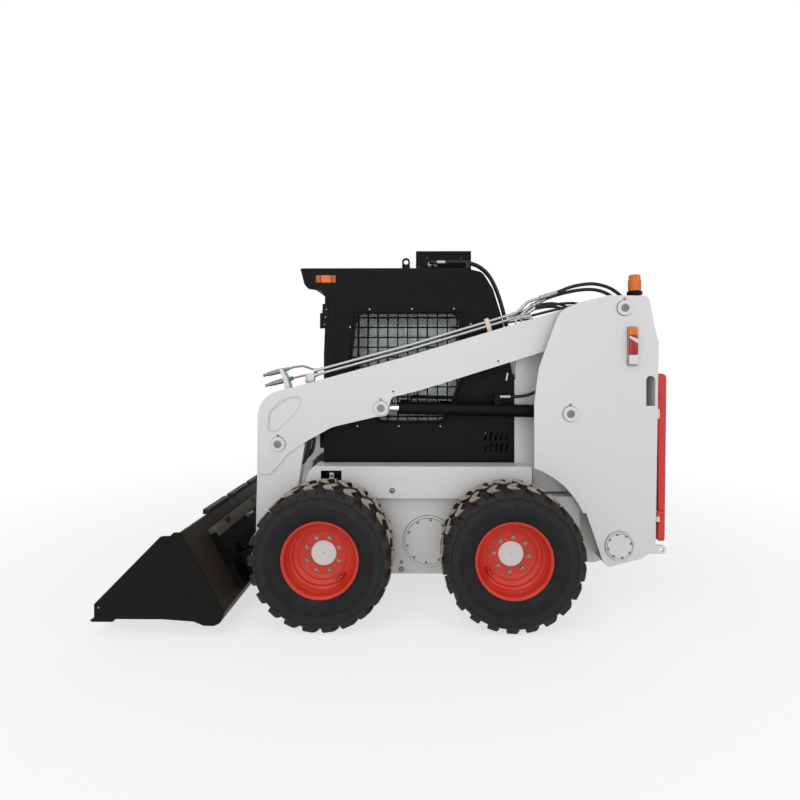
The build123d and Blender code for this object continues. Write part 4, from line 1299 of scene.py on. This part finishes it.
    def beacon(self) -> None:
        """Model the ribbed amber beacon on its black foot."""
        low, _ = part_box("beacon")
        lens = (
            (0, 1.985), (0.037, 1.985), (0.038, 1.99), (0.0375, 2.055), (0.036, 2.06), (0.0355, 2.08),
            (0.031, 2.086), (0, 2.086),
        )
        foot = (
            (0, low.z), (0.016, low.z), (0.018, 1.955), (0.044, 1.961), (0.046, 1.965), (0.046, 1.98),
            (0.04, 1.986), (0, 1.986),
        )
        middle = Vector((low.x + 0.046, self.beacon_y, 0))
        rib = brick((0, 0.0022), (-0.0392, -0.036), (1.992, 2.052), 0.0006)
        rib.data.transform(Matrix.Translation((middle.x - at(0.0011, 0, 0).x, middle.y, 0)))
        step = 360 / self.beacon_ribs
        ribs = spread(rib, [turn_about(middle, step * k, "Z") for k in range(self.beacon_ribs)])
        self.dress(Finish.AMBER, "beacon_lens", joined([self.upright(lens, middle), *ribs]), "beacon")
        plate = brick((-0.845, -0.769), (0.5, 0.605), (1.91, 1.922), 0.002)
        self.dress(Finish.BLACK, "beacon_base", joined([self.upright(foot, middle), plate]))

    def upright(self, rows: Sequence[Row], place: Vector) -> Piece:
        """Turn a profile of (radius, height) about a vertical axis.

        Args:
            rows: the profile.
            place: where the axis stands.

        Returns:
            The new piece.
        """
        piece = turned(rows, Vector())
        piece.data.transform(Matrix.Translation(place) @ Matrix.Rotation(math.pi / 2, 4, "X"))
        return piece

    def build(self) -> None:
        """Build and dress the frame's fittings."""
        for cover in self.covers:
            self.cover(cover)
        self.dress(Finish.STEEL, "tower_pin_ends", pin_ends(self.pins, self.skin_face, 0.01))
        plugs = (bolt(seat, 0.014, 0.006) for seat in spots([self.ledge_plug], self.ledge_face))
        self.dress(Finish.STEEL, "ledge_plug", both_sides(*plugs))
        self.dress(Finish.STEEL, "drain_plugs", self.drain_plugs())
        self.dress(Finish.DARK, "painted_shade_rings", self.painted_shade_rings())
        self.dress(Finish.DARK, "panel_seams", self.seams())
        self.dress(Finish.WHITE, "tower_cheeks", both_sides(slab(self.cheek, *self.cheek_y, 0.001)))
        self.dress(Finish.BLACK, "recess_shade_plates", self.painted_recess_shade())
        self.tail_lamp()
        self.beacon()
        repaint(Finish.WHITE, "main_frame", "fenders", "hood")
        repaint(Finish.WHITE, "tower_skins", "tower_inners", "tower_walls", "tower_pins")
        repaint(Finish.BLACK, "axle_housings")
        repaint(Finish.IRON, "engine")
        repaint(Finish.TAIL_RED, "tail_door")


# ------------------------------------------------------------------ cab
@dataclass
class Cab(Assembly):
    """The black cab: barred windows, fastener heads, marker lamps, roof unit, glass and seat."""

    wall_face: float = 0.42
    window: tuple[Row, ...] = (
        (0.253, 1.871), (0.968, 1.871), (0.998, 1.556), (0.809, 1.147), (0.373, 1.147), (0.253, 1.416),
    )
    pitch: float = 0.065
    bar_radius: float = 0.0042
    shortest_bar: float = 0.03
    fasteners: tuple[Row, ...] = (
        (0.866, 1.888), (0.588, 1.891), (0.315, 1.893), (0.993, 1.772), (0.206, 1.792), (0.946, 1.125),
        (0.675, 1.125), (0.403, 1.125),
    )
    plate_heads: tuple[Row, ...] = ((1.149, 1.888), (1.155, 1.838), (1.16, 1.79))
    lamp_x: Row = (1.087, 1.219)
    lamp_z: Row = (2.063, 2.112)
    unit_fins: int = 7
    pad: tuple[Row, ...] = ((0.118, 0.848), (0.582, 0.848), (0.585, 0.9), (0.57, 0.93), (0.118, 0.925))
    rest: tuple[Row, ...] = ((0.152, 0.955), (0.232, 0.955), (0.145, 1.488), (0.072, 1.478))
    crown: float = 0.012
    # x and y of the roof unit's two hoses, and x and z of the points that both are bent by
    hoses: tuple[Row, ...] = ((0.47, 0.382), (0.43, 0.356))
    hose_bends: tuple[Row, ...] = (
        (0.088, 2.138), (0.022, 2.01), (-0.028, 1.83), (-0.066, 1.64), (-0.112, 1.545),
    )
    hose_foot: float = -0.114

    def crossings(self, where: float, upright: bool) -> list[float]:
        """Return where a line across the window meets its outline.

        Args:
            where: the line's x if it is upright, or else its z.
            upright: whether the line is upright.

        Returns:
            The two heights, or the two x.
        """
        own, other = (0, 1) if upright else (1, 0)
        found = []
        for first, second in zip(self.window, self.window[1:] + self.window[:1]):
            low, high = sorted((first[own], second[own]))
            if low <= where < high:
                share = (where - first[own]) / (second[own] - first[own])
                found.append(first[other] + share * (second[other] - first[other]))
        return sorted(found)

    def screen(self) -> Piece:
        """Model the welded grid over each side window, inside its bent border bar.

        Returns:
            Both grids as one piece.
        """
        radius, y = self.bar_radius, self.wall_face + self.bar_radius
        bars = [tube(spots((*self.window, self.window[0]), y), radius * 1.2, smooth=False)]
        for upright, edges in ((True, [x for x, _ in self.window]), (False, [z for _, z in self.window])):
            where = min(edges) + self.pitch * 0.6
            while where < max(edges):
                ends = self.crossings(where, upright)
                if len(ends) == 2 and ends[1] - ends[0] > self.shortest_bar:
                    route = [at(where, y, end) if upright else at(end, y - radius, where) for end in ends]
                    bars.append(tube(route, radius, smooth=False))
                where += self.pitch
        return both_sides(*bars)

    def marker_lamps(self) -> None:
        """Model the amber marker lamps with their darker ends."""
        (rear, front), y = self.lamp_x, (self.wall_face - 0.019, self.wall_face + 0.0035)
        lens = brick((rear + 0.033, front - 0.033), y, self.lamp_z, 0.003)
        self.dress(Finish.AMBER, "marker_lens", both_sides(lens), "marker_lamps")
        spans = ((rear, rear + 0.031), (front - 0.031, front))
        ends = (brick(x, (y[0], y[1] - 0.001), self.lamp_z, 0.003) for x in spans)
        self.dress(Finish.EMBER, "marker_ends", both_sides(*ends))

    def roof_unit(self) -> None:
        """Model the roof's air conditioner: a folded box with a lid's lip, grilles and screws."""
        low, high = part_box("air_conditioner")
        rear, front = low.x - REAR_AXLE.x, high.x - REAR_AXLE.x
        side = (low.y + 0.004, high.y - 0.004)
        parts = [
            brick((rear, front), side, (low.z, high.z - 0.004), 0.006),
            brick((rear + 0.001, front - 0.001), (low.y, high.y), (high.z - 0.022, high.z), 0.004),
        ]
        grille = (low.y + 0.04, high.y - 0.04)
        for k in range(self.unit_fins):
            foot = low.z + 0.025 + 0.012 * k
            parts.append(brick((front - 0.004, front), grille, (foot, foot + 0.005), 0.001))
        self.dress(Finish.BLACK, "roof_unit", joined(parts), "air_conditioner")
        seats = ((rear + 0.07, high.z - 0.05), (front - 0.08, high.z - 0.05), (front - 0.02, low.z + 0.03))
        screws = (bolt(seat, 0.006, 0.0035) for seat in spots(seats, side[1]))
        self.dress(Finish.DARK, "unit_screws", both_sides(*screws), slot="zinc_steel")

    def cushion(self, name: str, outline: Sequence[Row], half: float, node: str) -> None:
        """Model a crowned cushion with a piped edge inside its CAD solid.

        Args:
            name: the piece's name.
            outline: its side outline.
            half: half its width.
            node: the node that it replaces.
        """
        pad = slab(outline, self.crown - half, half - self.crown)
        pick(pad)
        bpy.ops.object.mode_set(mode="EDIT")
        bpy.ops.mesh.select_all(action="SELECT")
        bpy.ops.mesh.subdivide(number_cuts=2)
        bpy.ops.object.mode_set(mode="OBJECT")
        modify(pad, "REMESH", mode="VOXEL", voxel_size=0.012)
        self.swell(pad)
        modify(pad, "SMOOTH", factor=0.6, iterations=6)
        modify(pad, "SUBSURF", levels=1, render_levels=1)
        pick(pad)
        bpy.ops.object.shade_smooth()
        self.dress(Finish.VINYL, name, pad, node)

    def swell(self, pad: Piece) -> None:
        """Swell a cushion's cloth by air inside it, by no more than its crown.

        Args:
            pad: the cushion.
        """
        modifier = pad.modifiers.new("Cloth", "CLOTH")
        modifier.settings.use_pressure = True
        modifier.settings.uniform_pressure_force = 3.0
        modifier.settings.effector_weights.gravity = 0
        rest = [vertex.co.copy() for vertex in pad.data.vertices]
        for step in range(1, 13):
            bpy.context.scene.frame_set(step)
        pick(pad)
        bpy.ops.object.modifier_apply(modifier="Cloth")
        for vertex, start in zip(pad.data.vertices, rest):
            move = vertex.co - start
            if move.length > self.crown:
                vertex.co = start + move * (self.crown / move.length)
        bpy.context.scene.frame_set(1)

    def front_plates(self) -> None:
        """Model the bolted plates at the cab's front, the pale slots and the lip along the wall's foot."""
        y = self.wall_face
        outline = [(1.14, 1.766), (1.178, 1.766), (1.18, 1.8), (1.173, 1.924), (1.134, 1.928)]
        plate = slab(outline, y + 0.0005, y + 0.0045, 0.001)
        lip = brick((-0.076, 1.15), (y - 0.001, y + 0.0035), (0.9, 0.913), 0.0012)
        self.dress(Finish.BLACK, "wall_plates", both_sides(plate, lip))
        head = [(0, 0), (0.0042, 0), (0.003, 0.0025), (0, 0.003)]
        heads = [turned(head, seat, 16) for seat in spots(self.plate_heads, y + 0.0045)]
        outline = [(-0.032, 1.42), (-0.022, 1.424), (-0.031, 1.475), (-0.041, 1.471)]
        slot = slab(outline, y, y + 0.0015, 0.0006)
        self.dress(Finish.ZINC, "plate_heads", both_sides(*heads, slot))

    def hose_fittings(self) -> Piece:
        """Model the crimped ends of the roof unit's hoses.

        Returns:
            The fittings as one piece.
        """
        rows = [(0.0, 0.01, 0.0145), (0.01, 0.026, 0.011), (0.026, 0.052, 0.013)]
        low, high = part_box("cab_hoses")
        ends = []
        for x, y in self.hoses:
            neck = at(x - 0.045, y + 0.008, high.z - 0.0112)
            ends.append(sleeves(at(x, 0.301, high.z - 0.011), Vector((0, 1, 0)), rows))
            ends.append(sleeves(at(self.hose_foot, y + 0.008, low.z), Vector((0, 0, 1)), rows))
            ends.append(sleeves(neck, Vector((-1, 0, 0)), [(0, 0.055, 0.0122)]))
        return joined(ends)

    def roof_hoses(self) -> Piece:
        """Model the roof unit's two hoses, bent smoothly down behind the cab, with their clamps.

        Returns:
            The hoses and their clamps as one piece.
        """
        low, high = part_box("cab_hoses")
        lift, roof = high.z - 0.008, high.z - 0.052
        bends = ((0.3, lift), (0.185, lift - 0.004), *self.hose_bends, (self.hose_foot, low.z))
        clamp_y = (0.344, 0.394)
        pieces = [
            brick((0.208, 0.236), clamp_y, (roof, high.z), 0.004),
            brick((-0.06, -0.024), clamp_y, (1.69, 1.71), 0.004),
        ]
        for x, y in self.hoses:
            start = [at(x, 0.3003, lift), at(x + 0.002, y - 0.006, lift), at(x - 0.03, y, lift)]
            pieces.append(tube([*start, *spots(bends, y)], 0.011))
        return joined(pieces)

    def build(self) -> None:
        """Build and dress the cab."""
        self.front_plates()
        self.dress(Finish.ZINC, "roof_hose_ends", self.hose_fittings())
        self.dress(Finish.BLACK, "window_grids", self.screen(), "cab_screens")
        head = [(0, 0), (0.0056, 0), (0.0056, 0.002), (0.004, 0.0035), (0, 0.004)]
        self.dress(Finish.ZINC, "window_fasteners", studded(head, self.fasteners, self.wall_face))
        self.marker_lamps()
        self.roof_unit()
        self.cushion("seat_pad", self.pad, 0.235, "seat_cushion")
        self.cushion("seat_rest", self.rest, 0.225, "seat_back")
        repaint(Finish.BLACK, "cab_sides", "cab_rear", "cab_roof", "front_door", "seat_base", "seat_bar")
        repaint(Finish.BLACK, "control_levers")
        repaint(Finish.MAT, "cab_floor")
        repaint(Finish.PANE, "rear_window", "door_glass", "side_windows")
        self.dress(Finish.HOSE, "roof_hoses", self.roof_hoses(), "cab_hoses")


# ------------------------------------------------------------------ arms
@dataclass
class Arms(Assembly):
    """The lift arms' pipes, hoses, clamps, couplers, pin ends, and the cylinders' finish."""

    body: str = "lift_arms"
    middle: float = 0.49
    face: float = 0.55
    collar_radius: float = 0.046
    pins: tuple[Row, ...] = ((1.429, 1.027), (0.781, 1.253))
    holes: tuple[Row, ...] = ((0.704, 1.358), (0.046, 1.548))
    top: tuple[Row, ...] = ((-0.745, 1.93), (-0.34, 1.865), (0.6, 1.583), (1.38, 1.372), (1.556, 1.334))
    pocket: tuple[Row, ...] = (
        (1.294, 1.325), (1.282, 1.297), (1.307, 1.232), (1.442, 1.104), (1.487, 1.117), (1.494, 1.155),
        (1.475, 1.239), (1.423, 1.296), (1.346, 1.325),
    )
    # rise over the arm's top, x where the straight run stops, x and z of the corner, and the rear end
    runs: tuple[tuple[float, float, Row, Point], ...] = (
        (0.041, -0.1, (-0.165, 1.893), (-0.232, 0.466, 1.93)),
        (0.069, -0.08, (-0.152, 1.928), (-0.292, 0.49, 1.972)),
    )
    # y and the x, z of the points that each hose goes by: on over the arm's rear end, then behind its leg
    rear_bends: tuple[tuple[float, tuple[Row, ...]], ...] = (
        (0.453, ((-0.4, 1.992), (-0.52, 2.013), (-0.62, 2.008),
                 (-0.712, 1.962), (-0.776, 1.88), (-0.782, 1.8))),
        (0.477, ((-0.42, 2.022), (-0.5, 2.04), (-0.59, 2.046),
                 (-0.706, 2.008), (-0.788, 1.92), (-0.804, 1.81))),
    )
    leg_bends: tuple[tuple[float, tuple[Row, ...]], ...] = (
        (0.455, ((1.31, 1.16), (1.244, 1.09), (1.247, 1.03), (1.258, 0.96), (1.285, 0.905), (1.33, 0.88))),
        (0.48, ((1.31, 1.165), (1.222, 1.09), (1.214, 1.02), (1.232, 0.96), (1.275, 0.925), (1.33, 0.915))),
        (0.506, ((1.31, 1.16), (1.238, 1.085), (1.238, 1.01), (1.255, 0.94), (1.285, 0.895), (1.33, 0.875))),
    )
    # the same for the two thin hoses, from their fittings on
    thin_bends: tuple[tuple[float, tuple[Row, ...]], ...] = (
        (0.514, ((-0.147, 1.852), (-0.186, 1.882), (-0.274, 1.901),
                 (-0.39, 1.916), (-0.459, 1.914), (-0.54, 1.896))),
        (0.532, ((-0.108, 1.824), (-0.167, 1.834), (-0.254, 1.857),
                 (-0.361, 1.882), (-0.41, 1.893), (-0.5, 1.896))),
    )
    lift_bends: tuple[Row, ...] = (
        (0.026, 1.322), (-0.04, 1.32), (-0.118, 1.325), (-0.176, 1.338), (-0.23, 1.372),
    )
    # root and tip of the lower coupler, then of the upper one
    coupler_ends: tuple[Row, ...] = ((1.395, 1.428), (1.533, 1.39), (1.408, 1.492), (1.526, 1.46))

    def top_at(self, x: float) -> float:
        """Return the height of the arm's top edge.

        Args:
            x: how far forward of the rear axle.

        Returns:
            The height there.
        """
        for (x_low, z_low), (x_high, z_high) in zip(self.top, self.top[1:]):
            if x <= x_high:
                return z_low + (z_high - z_low) * (x - x_low) / (x_high - x_low)
        return self.top[-1][1]

    def over(self, x: float, rise: float) -> Vector:
        """Return the point this far above the arm's top edge."""
        return at(x, self.middle, self.top_at(x) + rise)

    def pipes(self) -> None:
        """Model the two bright pipes over each arm, with their end fittings."""
        nuts = [
            (-0.066, -0.048, 0.015), (-0.048, -0.03, 0.0115), (-0.03, -0.008, 0.015), (-0.008, 0.046, 0.0135),
        ]
        down = Vector((1, 0, -0.27)).normalized()
        lines = []
        for rise, last, (x, z), end in self.runs:
            corner, stop = at(x, self.middle, z), at(*end)
            route = [*(self.over(along, rise) for along in (1.205, 0.6, last)), corner, stop]
            lines.append(tube(eased(route, 0.018), 0.0095, smooth=False))
            lines.append(sleeves(stop, (stop - corner).normalized(), nuts, 24))
            lines.append(sleeves(self.over(1.195, rise), down, [(0, 0.022, 0.0135)], 24))
        self.dress(Finish.ZINC, "arm_pipe_lines", both_sides(*lines), "arm_pipes")

    def clamps(self) -> None:
        """Model the nylon clamp in the pipes' middle, and the steel one at their front end."""
        x, y = 0.09, self.middle
        low = self.top_at(x)
        height = (low + 0.001, low + 0.088)
        clamp = brick((x - 0.014, x + 0.014), (y - 0.018, y + 0.018), height, 0.004)
        slope = math.degrees(math.atan2(self.top_at(0.05) - self.top_at(0.15), 0.1))
        clamp.data.transform(turn_about(at(x, 0, low), slope))
        self.dress(Finish.NYLON, "pipe_clamps", both_sides(clamp))
        low = self.top_at(1.228)
        front = brick((1.209, 1.268), (y - 0.016, y + 0.016), (low - 0.004, low + 0.054), 0.004)
        self.dress(Finish.ZINC, "front_pipe_clamps", both_sides(front))

    def rear_hoses(self) -> None:
        """Model the hoses that carry the pipes on over the arm's rear end, and those behind its leg."""
        hoses = []
        for (y, points), (_, _, (x, z), end) in zip(self.rear_bends, self.runs):
            start = at(*end)
            onward = (start - at(x, self.middle, z)).normalized()
            route = [start + onward * 0.0003, start + onward * 0.06, *spots(points, y)]
            hoses.append(tube(route, 0.011))
        self.dress(Finish.HOSE, "rear_arm_hoses", both_sides(*hoses), "arm_hoses")
        legs = (tube(spots(points, y), 0.0115) for y, points in self.leg_bends)
        self.dress(Finish.HOSE, "leg_hoses", both_sides(*legs))

    def thin_lines(self) -> None:
        """Model the two thin hoses behind the arms' pipes, with their crimped ends."""
        rows = [(0, 0.014, 0.0125), (0.014, 0.024, 0.009), (0.024, 0.056, 0.0108)]
        hoses, ends = [], []
        for y, points in self.thin_bends:
            route = spots(points, y)
            hoses.append(tube(route[1:], 0.0085))
            ends.append(sleeves(route[0], (route[1] - route[0]).normalized(), rows))
            x, z = points[0]
            foot = at(x + 0.045, y, self.top_at(x + 0.045) - 0.004)
            elbow = eased([foot, at(x + 0.036, y, z - 0.008), route[0]], 0.012)
            ends.append(tube(elbow, 0.0078, smooth=False))
        self.dress(Finish.HOSE, "thin_hoses", both_sides(*hoses))
        self.dress(Finish.ZINC, "thin_hose_ends", both_sides(*ends))

    def lift_hoses(self) -> None:
        """Model the hose from each lift cylinder's pipe back into the tower, and its fitting."""
        rows = [(0, 0.012, 0.0135), (0.012, 0.022, 0.0105), (0.022, 0.064, 0.0125)]
        places = spots(self.lift_bends, self.middle)
        masters = (
            (Finish.HOSE, "lift_hose", tube(places, 0.01)),
            (Finish.ZINC, "lift_hose_end", sleeves(places[0], Vector((-1, 0, 0)), rows)),
        )
        for side in Side:
            place = Matrix() if side is Side.LEFT else MIRROR
            for finish, name, master in masters:
                tail = side.value
                self.dress(finish, f"{name}_{tail}", copied(master, place), body=f"lift_barrel_{tail}")
        for _, _, master in masters:
            bpy.data.objects.remove(master)

    def couplers(self) -> None:
        """Model the two quick couplers on their bracket, with knurled sleeves, leads and a green cap."""
        y = self.middle
        rear, front = 1.359, 1.39
        outline = [
            (rear, self.top_at(rear) - 0.002), (1.375, 1.434), (1.408, 1.5), (1.431, 1.503), (1.403, 1.432),
            (front, self.top_at(front) - 0.002),
        ]
        bracket = slab(outline, y - 0.038, y + 0.038, 0.002)
        self.dress(Finish.WHITE, "coupler_bracket", bracket, "couplers", slot="zinc_steel")
        rows = [
            (-0.034, 0.006, 0.011), (0.006, 0.044, 0.0165), (0.046, 0.082, 0.015), (0.084, 0.106, 0.0135),
            (0.106, 0.136, 0.0095),
        ]
        low, low_tip, high, high_tip = spots(self.coupler_ends, y)
        lower = [*spots(((1.352, 1.44), (1.257, 1.462)), y), self.over(1.2, self.runs[0][0])]
        upper = [*spots(((1.378, 1.5), (1.34, 1.512), (1.284, 1.518)), y), self.over(1.2, self.runs[1][0])]
        ahead = (low_tip - low).normalized()
        bodies = [
            sleeves(low, ahead, rows, 24),
            sleeves(high, (high_tip - high).normalized(), rows, 24),
            tube(eased(lower, 0.01), 0.0065, smooth=False),
            tube(eased(upper, 0.014), 0.0065, smooth=False),
        ]
        self.dress(Finish.STEEL, "coupler_sleeves", joined(bodies))
        self.dress(Finish.TEAL, "coupler_caps", sleeves(low, ahead, [(-0.047, -0.018, 0.0135)], 24))

    def collar_shadow_lines(self) -> Piece:
        """Model the dark lines of painted contact shadow round the arms' collars.

        Returns:
            The lines as one piece.
        """
        # a dark ring of painted contact shadow round each collar
        rows = band(self.collar_radius, 0.0025, 0, 0.0012)
        lines = (turned(rows, centre, 56, ring=True) for centre in spots(self.pins, self.face))
        return both_sides(*lines)

    def build(self) -> None:
        """Build and dress the arms."""
        self.pipes()
        self.clamps()
        self.thin_lines()
        self.lift_hoses()
        # dark discs that paint the shade inside the arms' holes
        self.dress(Finish.DARK, "arm_holes", studded(HOLE_MOUTH, self.holes, self.face, 20))
        self.dress(Finish.DARK, "collar_shadow_lines", self.collar_shadow_lines())
        self.rear_hoses()
        route = eased(spots((*self.pocket, self.pocket[0]), self.face), 0.014)
        self.dress(Finish.WHITE, "pocket_bead", both_sides(tube(route, 0.0032, smooth=False)))
        self.couplers()
        self.dress(Finish.STEEL, "arm_pin_ends", pin_ends(self.pins, self.face, 0.008))
        repaint(Finish.WHITE, "arm_left", "arm_right", "arm_crossbars")
        for side in Side:
            repaint(Finish.BLACK, f"lift_barrel_{side.value}", f"tilt_barrel_{side.value}")
            repaint(Finish.CHROME, f"lift_rod_{side.value}", f"tilt_rod_{side.value}")


# ------------------------------------------------------------------ bucket
@dataclass
class Bucket(Assembly):
    """The bucket's finish, its carrier's flange and hose, and small fittings."""

    body: str = "bucket"
    side_face: float = 0.9
    corner_hole: Row = (2.329, 0.168)
    heel: Row = (1.624, 0.141)
    back_top: Row = (1.867, 0.586)
    flange_top: float = 0.43
    flange_half: float = 0.648
    notches: Point = (-0.47, 0.0, 0.47)
    notch_radius: float = 0.04
    hose_y: float = 0.2
    # how far up the bucket's back and how far behind it the hose goes
    hose_bends: tuple[Row, ...] = (
        (0.35, 0.086), (0.346, 0.104), (0.31, 0.112), (0.262, 0.098), (0.236, 0.07), (0.232, 0.04),
    )

    def behind(self, along: float, y: float, out: float) -> Vector:
        """Return the point this far up the bucket's back and this far behind it."""
        ahead = (at(self.back_top[0], 0, self.back_top[1]) - at(self.heel[0], 0, self.heel[1])).normalized()
        return at(self.heel[0], y, self.heel[1]) + ahead * along + Vector((-ahead.z, 0, ahead.x)) * out

    def flange(self) -> Piece:
        """Model the scuffed flange along the carrier's top.

        Returns:
            The flange.
        """
        top = self.flange_top
        rows = ((0.396, 0.001), (top, 0.001), (top, 0.052), (0.363, 0.052), (0.363, 0.0425), (0.396, 0.0425))
        half = self.flange_half
        sections = [[self.behind(along, y, out) for along, out in rows] for y in (-half, half)]
        return softened(lofted(sections), 0.002)

    def flange_notches(self) -> Piece:
        """Model the dark notches of the carrier's hooks, round at their foot.

        Returns:
            The notches as one piece.
        """
        turns = [math.pi * step / 12 for step in range(13)]
        arc = [(self.notch_radius * math.sin(turn), self.notch_radius * math.cos(turn)) for turn in turns]
        notches = []
        for middle in self.notches:
            sections = []
            for out in (0.0515, 0.0527):
                corners = [self.behind(self.flange_top - down, middle + aside, out) for down, aside in arc]
                sections.append(corners)
            notches.append(lofted(sections))
        return joined(notches)

    def carrier_hose(self) -> None:
        """Model the hose that loops over the carrier's rear face, with its bright fitting."""
        places = [self.behind(along, self.hose_y, out) for along, out in self.hose_bends]
        self.dress(Finish.HOSE, "carrier_hose", tube(places, 0.0095))
        rows = [(-0.05, -0.026, 0.017), (-0.026, -0.012, 0.0115), (-0.012, 0.014, 0.0135)]
        ahead = (places[0] - self.behind(self.hose_bends[0][0], self.hose_y, 0)).normalized()
        self.dress(Finish.ZINC, "carrier_hose_end", sleeves(places[0], ahead, rows))

    def build(self) -> None:
        """Build and dress the bucket."""
        self.dress(Finish.STEEL, "corner_holes", studded(HOLE_MOUTH, [self.corner_hole], self.side_face, 20))
        self.dress(Finish.SCUFFED, "carrier_flange", self.flange())
        self.dress(Finish.BLACK, "flange_notches", self.flange_notches())
        self.carrier_hose()
        repaint(Finish.BUCKET, "bucket", "cutting_edge")
        repaint(Finish.BLACK, "carrier")


# ------------------------------------------------------------------ studio
@dataclass(frozen=True)
class Studio:
    """A pale floor, a white surround, soft lamps and the camera."""

    lens: float = 21.9
    shift: Row = (-0.0229, -0.0415)
    stand: Point = (0.5155, 3.6, 1.5127)
    yaw: float = 0.01
    sky: float = 0.52
    # the radii between which the floor fades into the surround, and how pale it is at each of them
    fade: tuple[float, float, float, float] = (1.2, 5.0, 0.66, 1.0)
    # name, place, target, size and power of each lamp
    lamps: tuple[tuple[str, Point, Point, float, float], ...] = (
        ("key", (2.5, 5.0, 6.5), (0, 0, 0.9), 5.0, 135),
        ("fill", (-5.0, 4.0, 3.5), (0, 0, 0.9), 4.0, 60),
        ("side", (0.4, 6.2, 1.0), (0.4, 0, 0.8), 6.0, 150),
    )

    def floor(self) -> None:
        """Lay a wide pale floor that fades into the white surround."""
        deselect()
        bpy.ops.mesh.primitive_circle_add(vertices=96, radius=60, fill_type="NGON", location=(0, 0, -0.0005))
        ground = settle(bpy.context.object)
        ground.name = "floor"
        graph = Graph("pale_floor")
        graph.fix(Base_Color=(0.9, 0.9, 0.9, 1), Roughness=0.9)
        fade = graph.span(graph.reach(graph.place, "XY"), *self.fade)
        glow = graph.add("ShaderNodeEmission")
        graph.plug((1, 1, 1, 1), glow.inputs["Color"])
        share = graph.math("MULTIPLY", fade, graph.seen())
        graph.mix(share, graph.shader.outputs[0], glow.outputs[0], "Material Output")
        ground.data.materials.append(graph.material)

    def surround(self) -> None:
        """Light the machine from an even sky that looks white."""
        world = bpy.data.worlds.new("surround")
        bpy.context.scene.world = world
        world.use_nodes = True
        nodes = Nodes(world.node_tree)
        skies = nodes.tree.nodes["Background"], nodes.add("ShaderNodeBackground")
        for sky, strength in zip(skies, (self.sky, 1.0)):
            nodes.plug((1, 1, 1, 1), sky.inputs["Color"])
            nodes.plug(strength, sky.inputs["Strength"])
        nodes.mix(nodes.seen(), skies[0].outputs[0], skies[1].outputs[0], "World Output")

    def lamp(self, name: str, place: Point, target: Point, size: float, power: float) -> None:
        """Hang one large soft lamp.

        Args:
            name: the lamp's name.
            place: where it hangs.
            target: what it points at.
            size: the length of its sides.
            power: its power in watts.
        """
        deselect()
        bpy.ops.object.light_add(type="AREA", location=place)
        lamp = bpy.context.object
        lamp.name = name
        lamp.data.size = size
        lamp.data.energy = power
        lamp.rotation_euler = (Vector(target) - Vector(place)).to_track_quat("-Z", "Y").to_euler()

    def camera(self) -> None:
        """Stand the camera level beside the machine."""
        deselect()
        bpy.ops.object.camera_add(location=at(*self.stand), rotation=(math.pi / 2, 0, math.pi + self.yaw))
        camera = bpy.context.object
        camera.data.sensor_width = 36
        camera.data.lens = self.lens
        camera.data.shift_x, camera.data.shift_y = self.shift
        camera.data.clip_end = 200
        bpy.context.scene.camera = camera

    def build(self) -> None:
        """Set up the studio."""
        self.camera()
        self.floor()
        self.surround()
        for lamp in self.lamps:
            self.lamp(*lamp)
        bpy.context.scene.view_settings.view_transform = "Standard"


def main() -> None:
    """Build the studio and every sub-assembly in order."""
    logging.basicConfig(level=logging.INFO, format="%(name)s: %(message)s")
    Studio().build()
    for assembly in (Wheels(), Chassis(), Cab(), Arms(), Bucket()):
        assembly.build()
        LOG.info("%s is dressed", type(assembly).__name__)


if __name__ == "__main__":
    main()
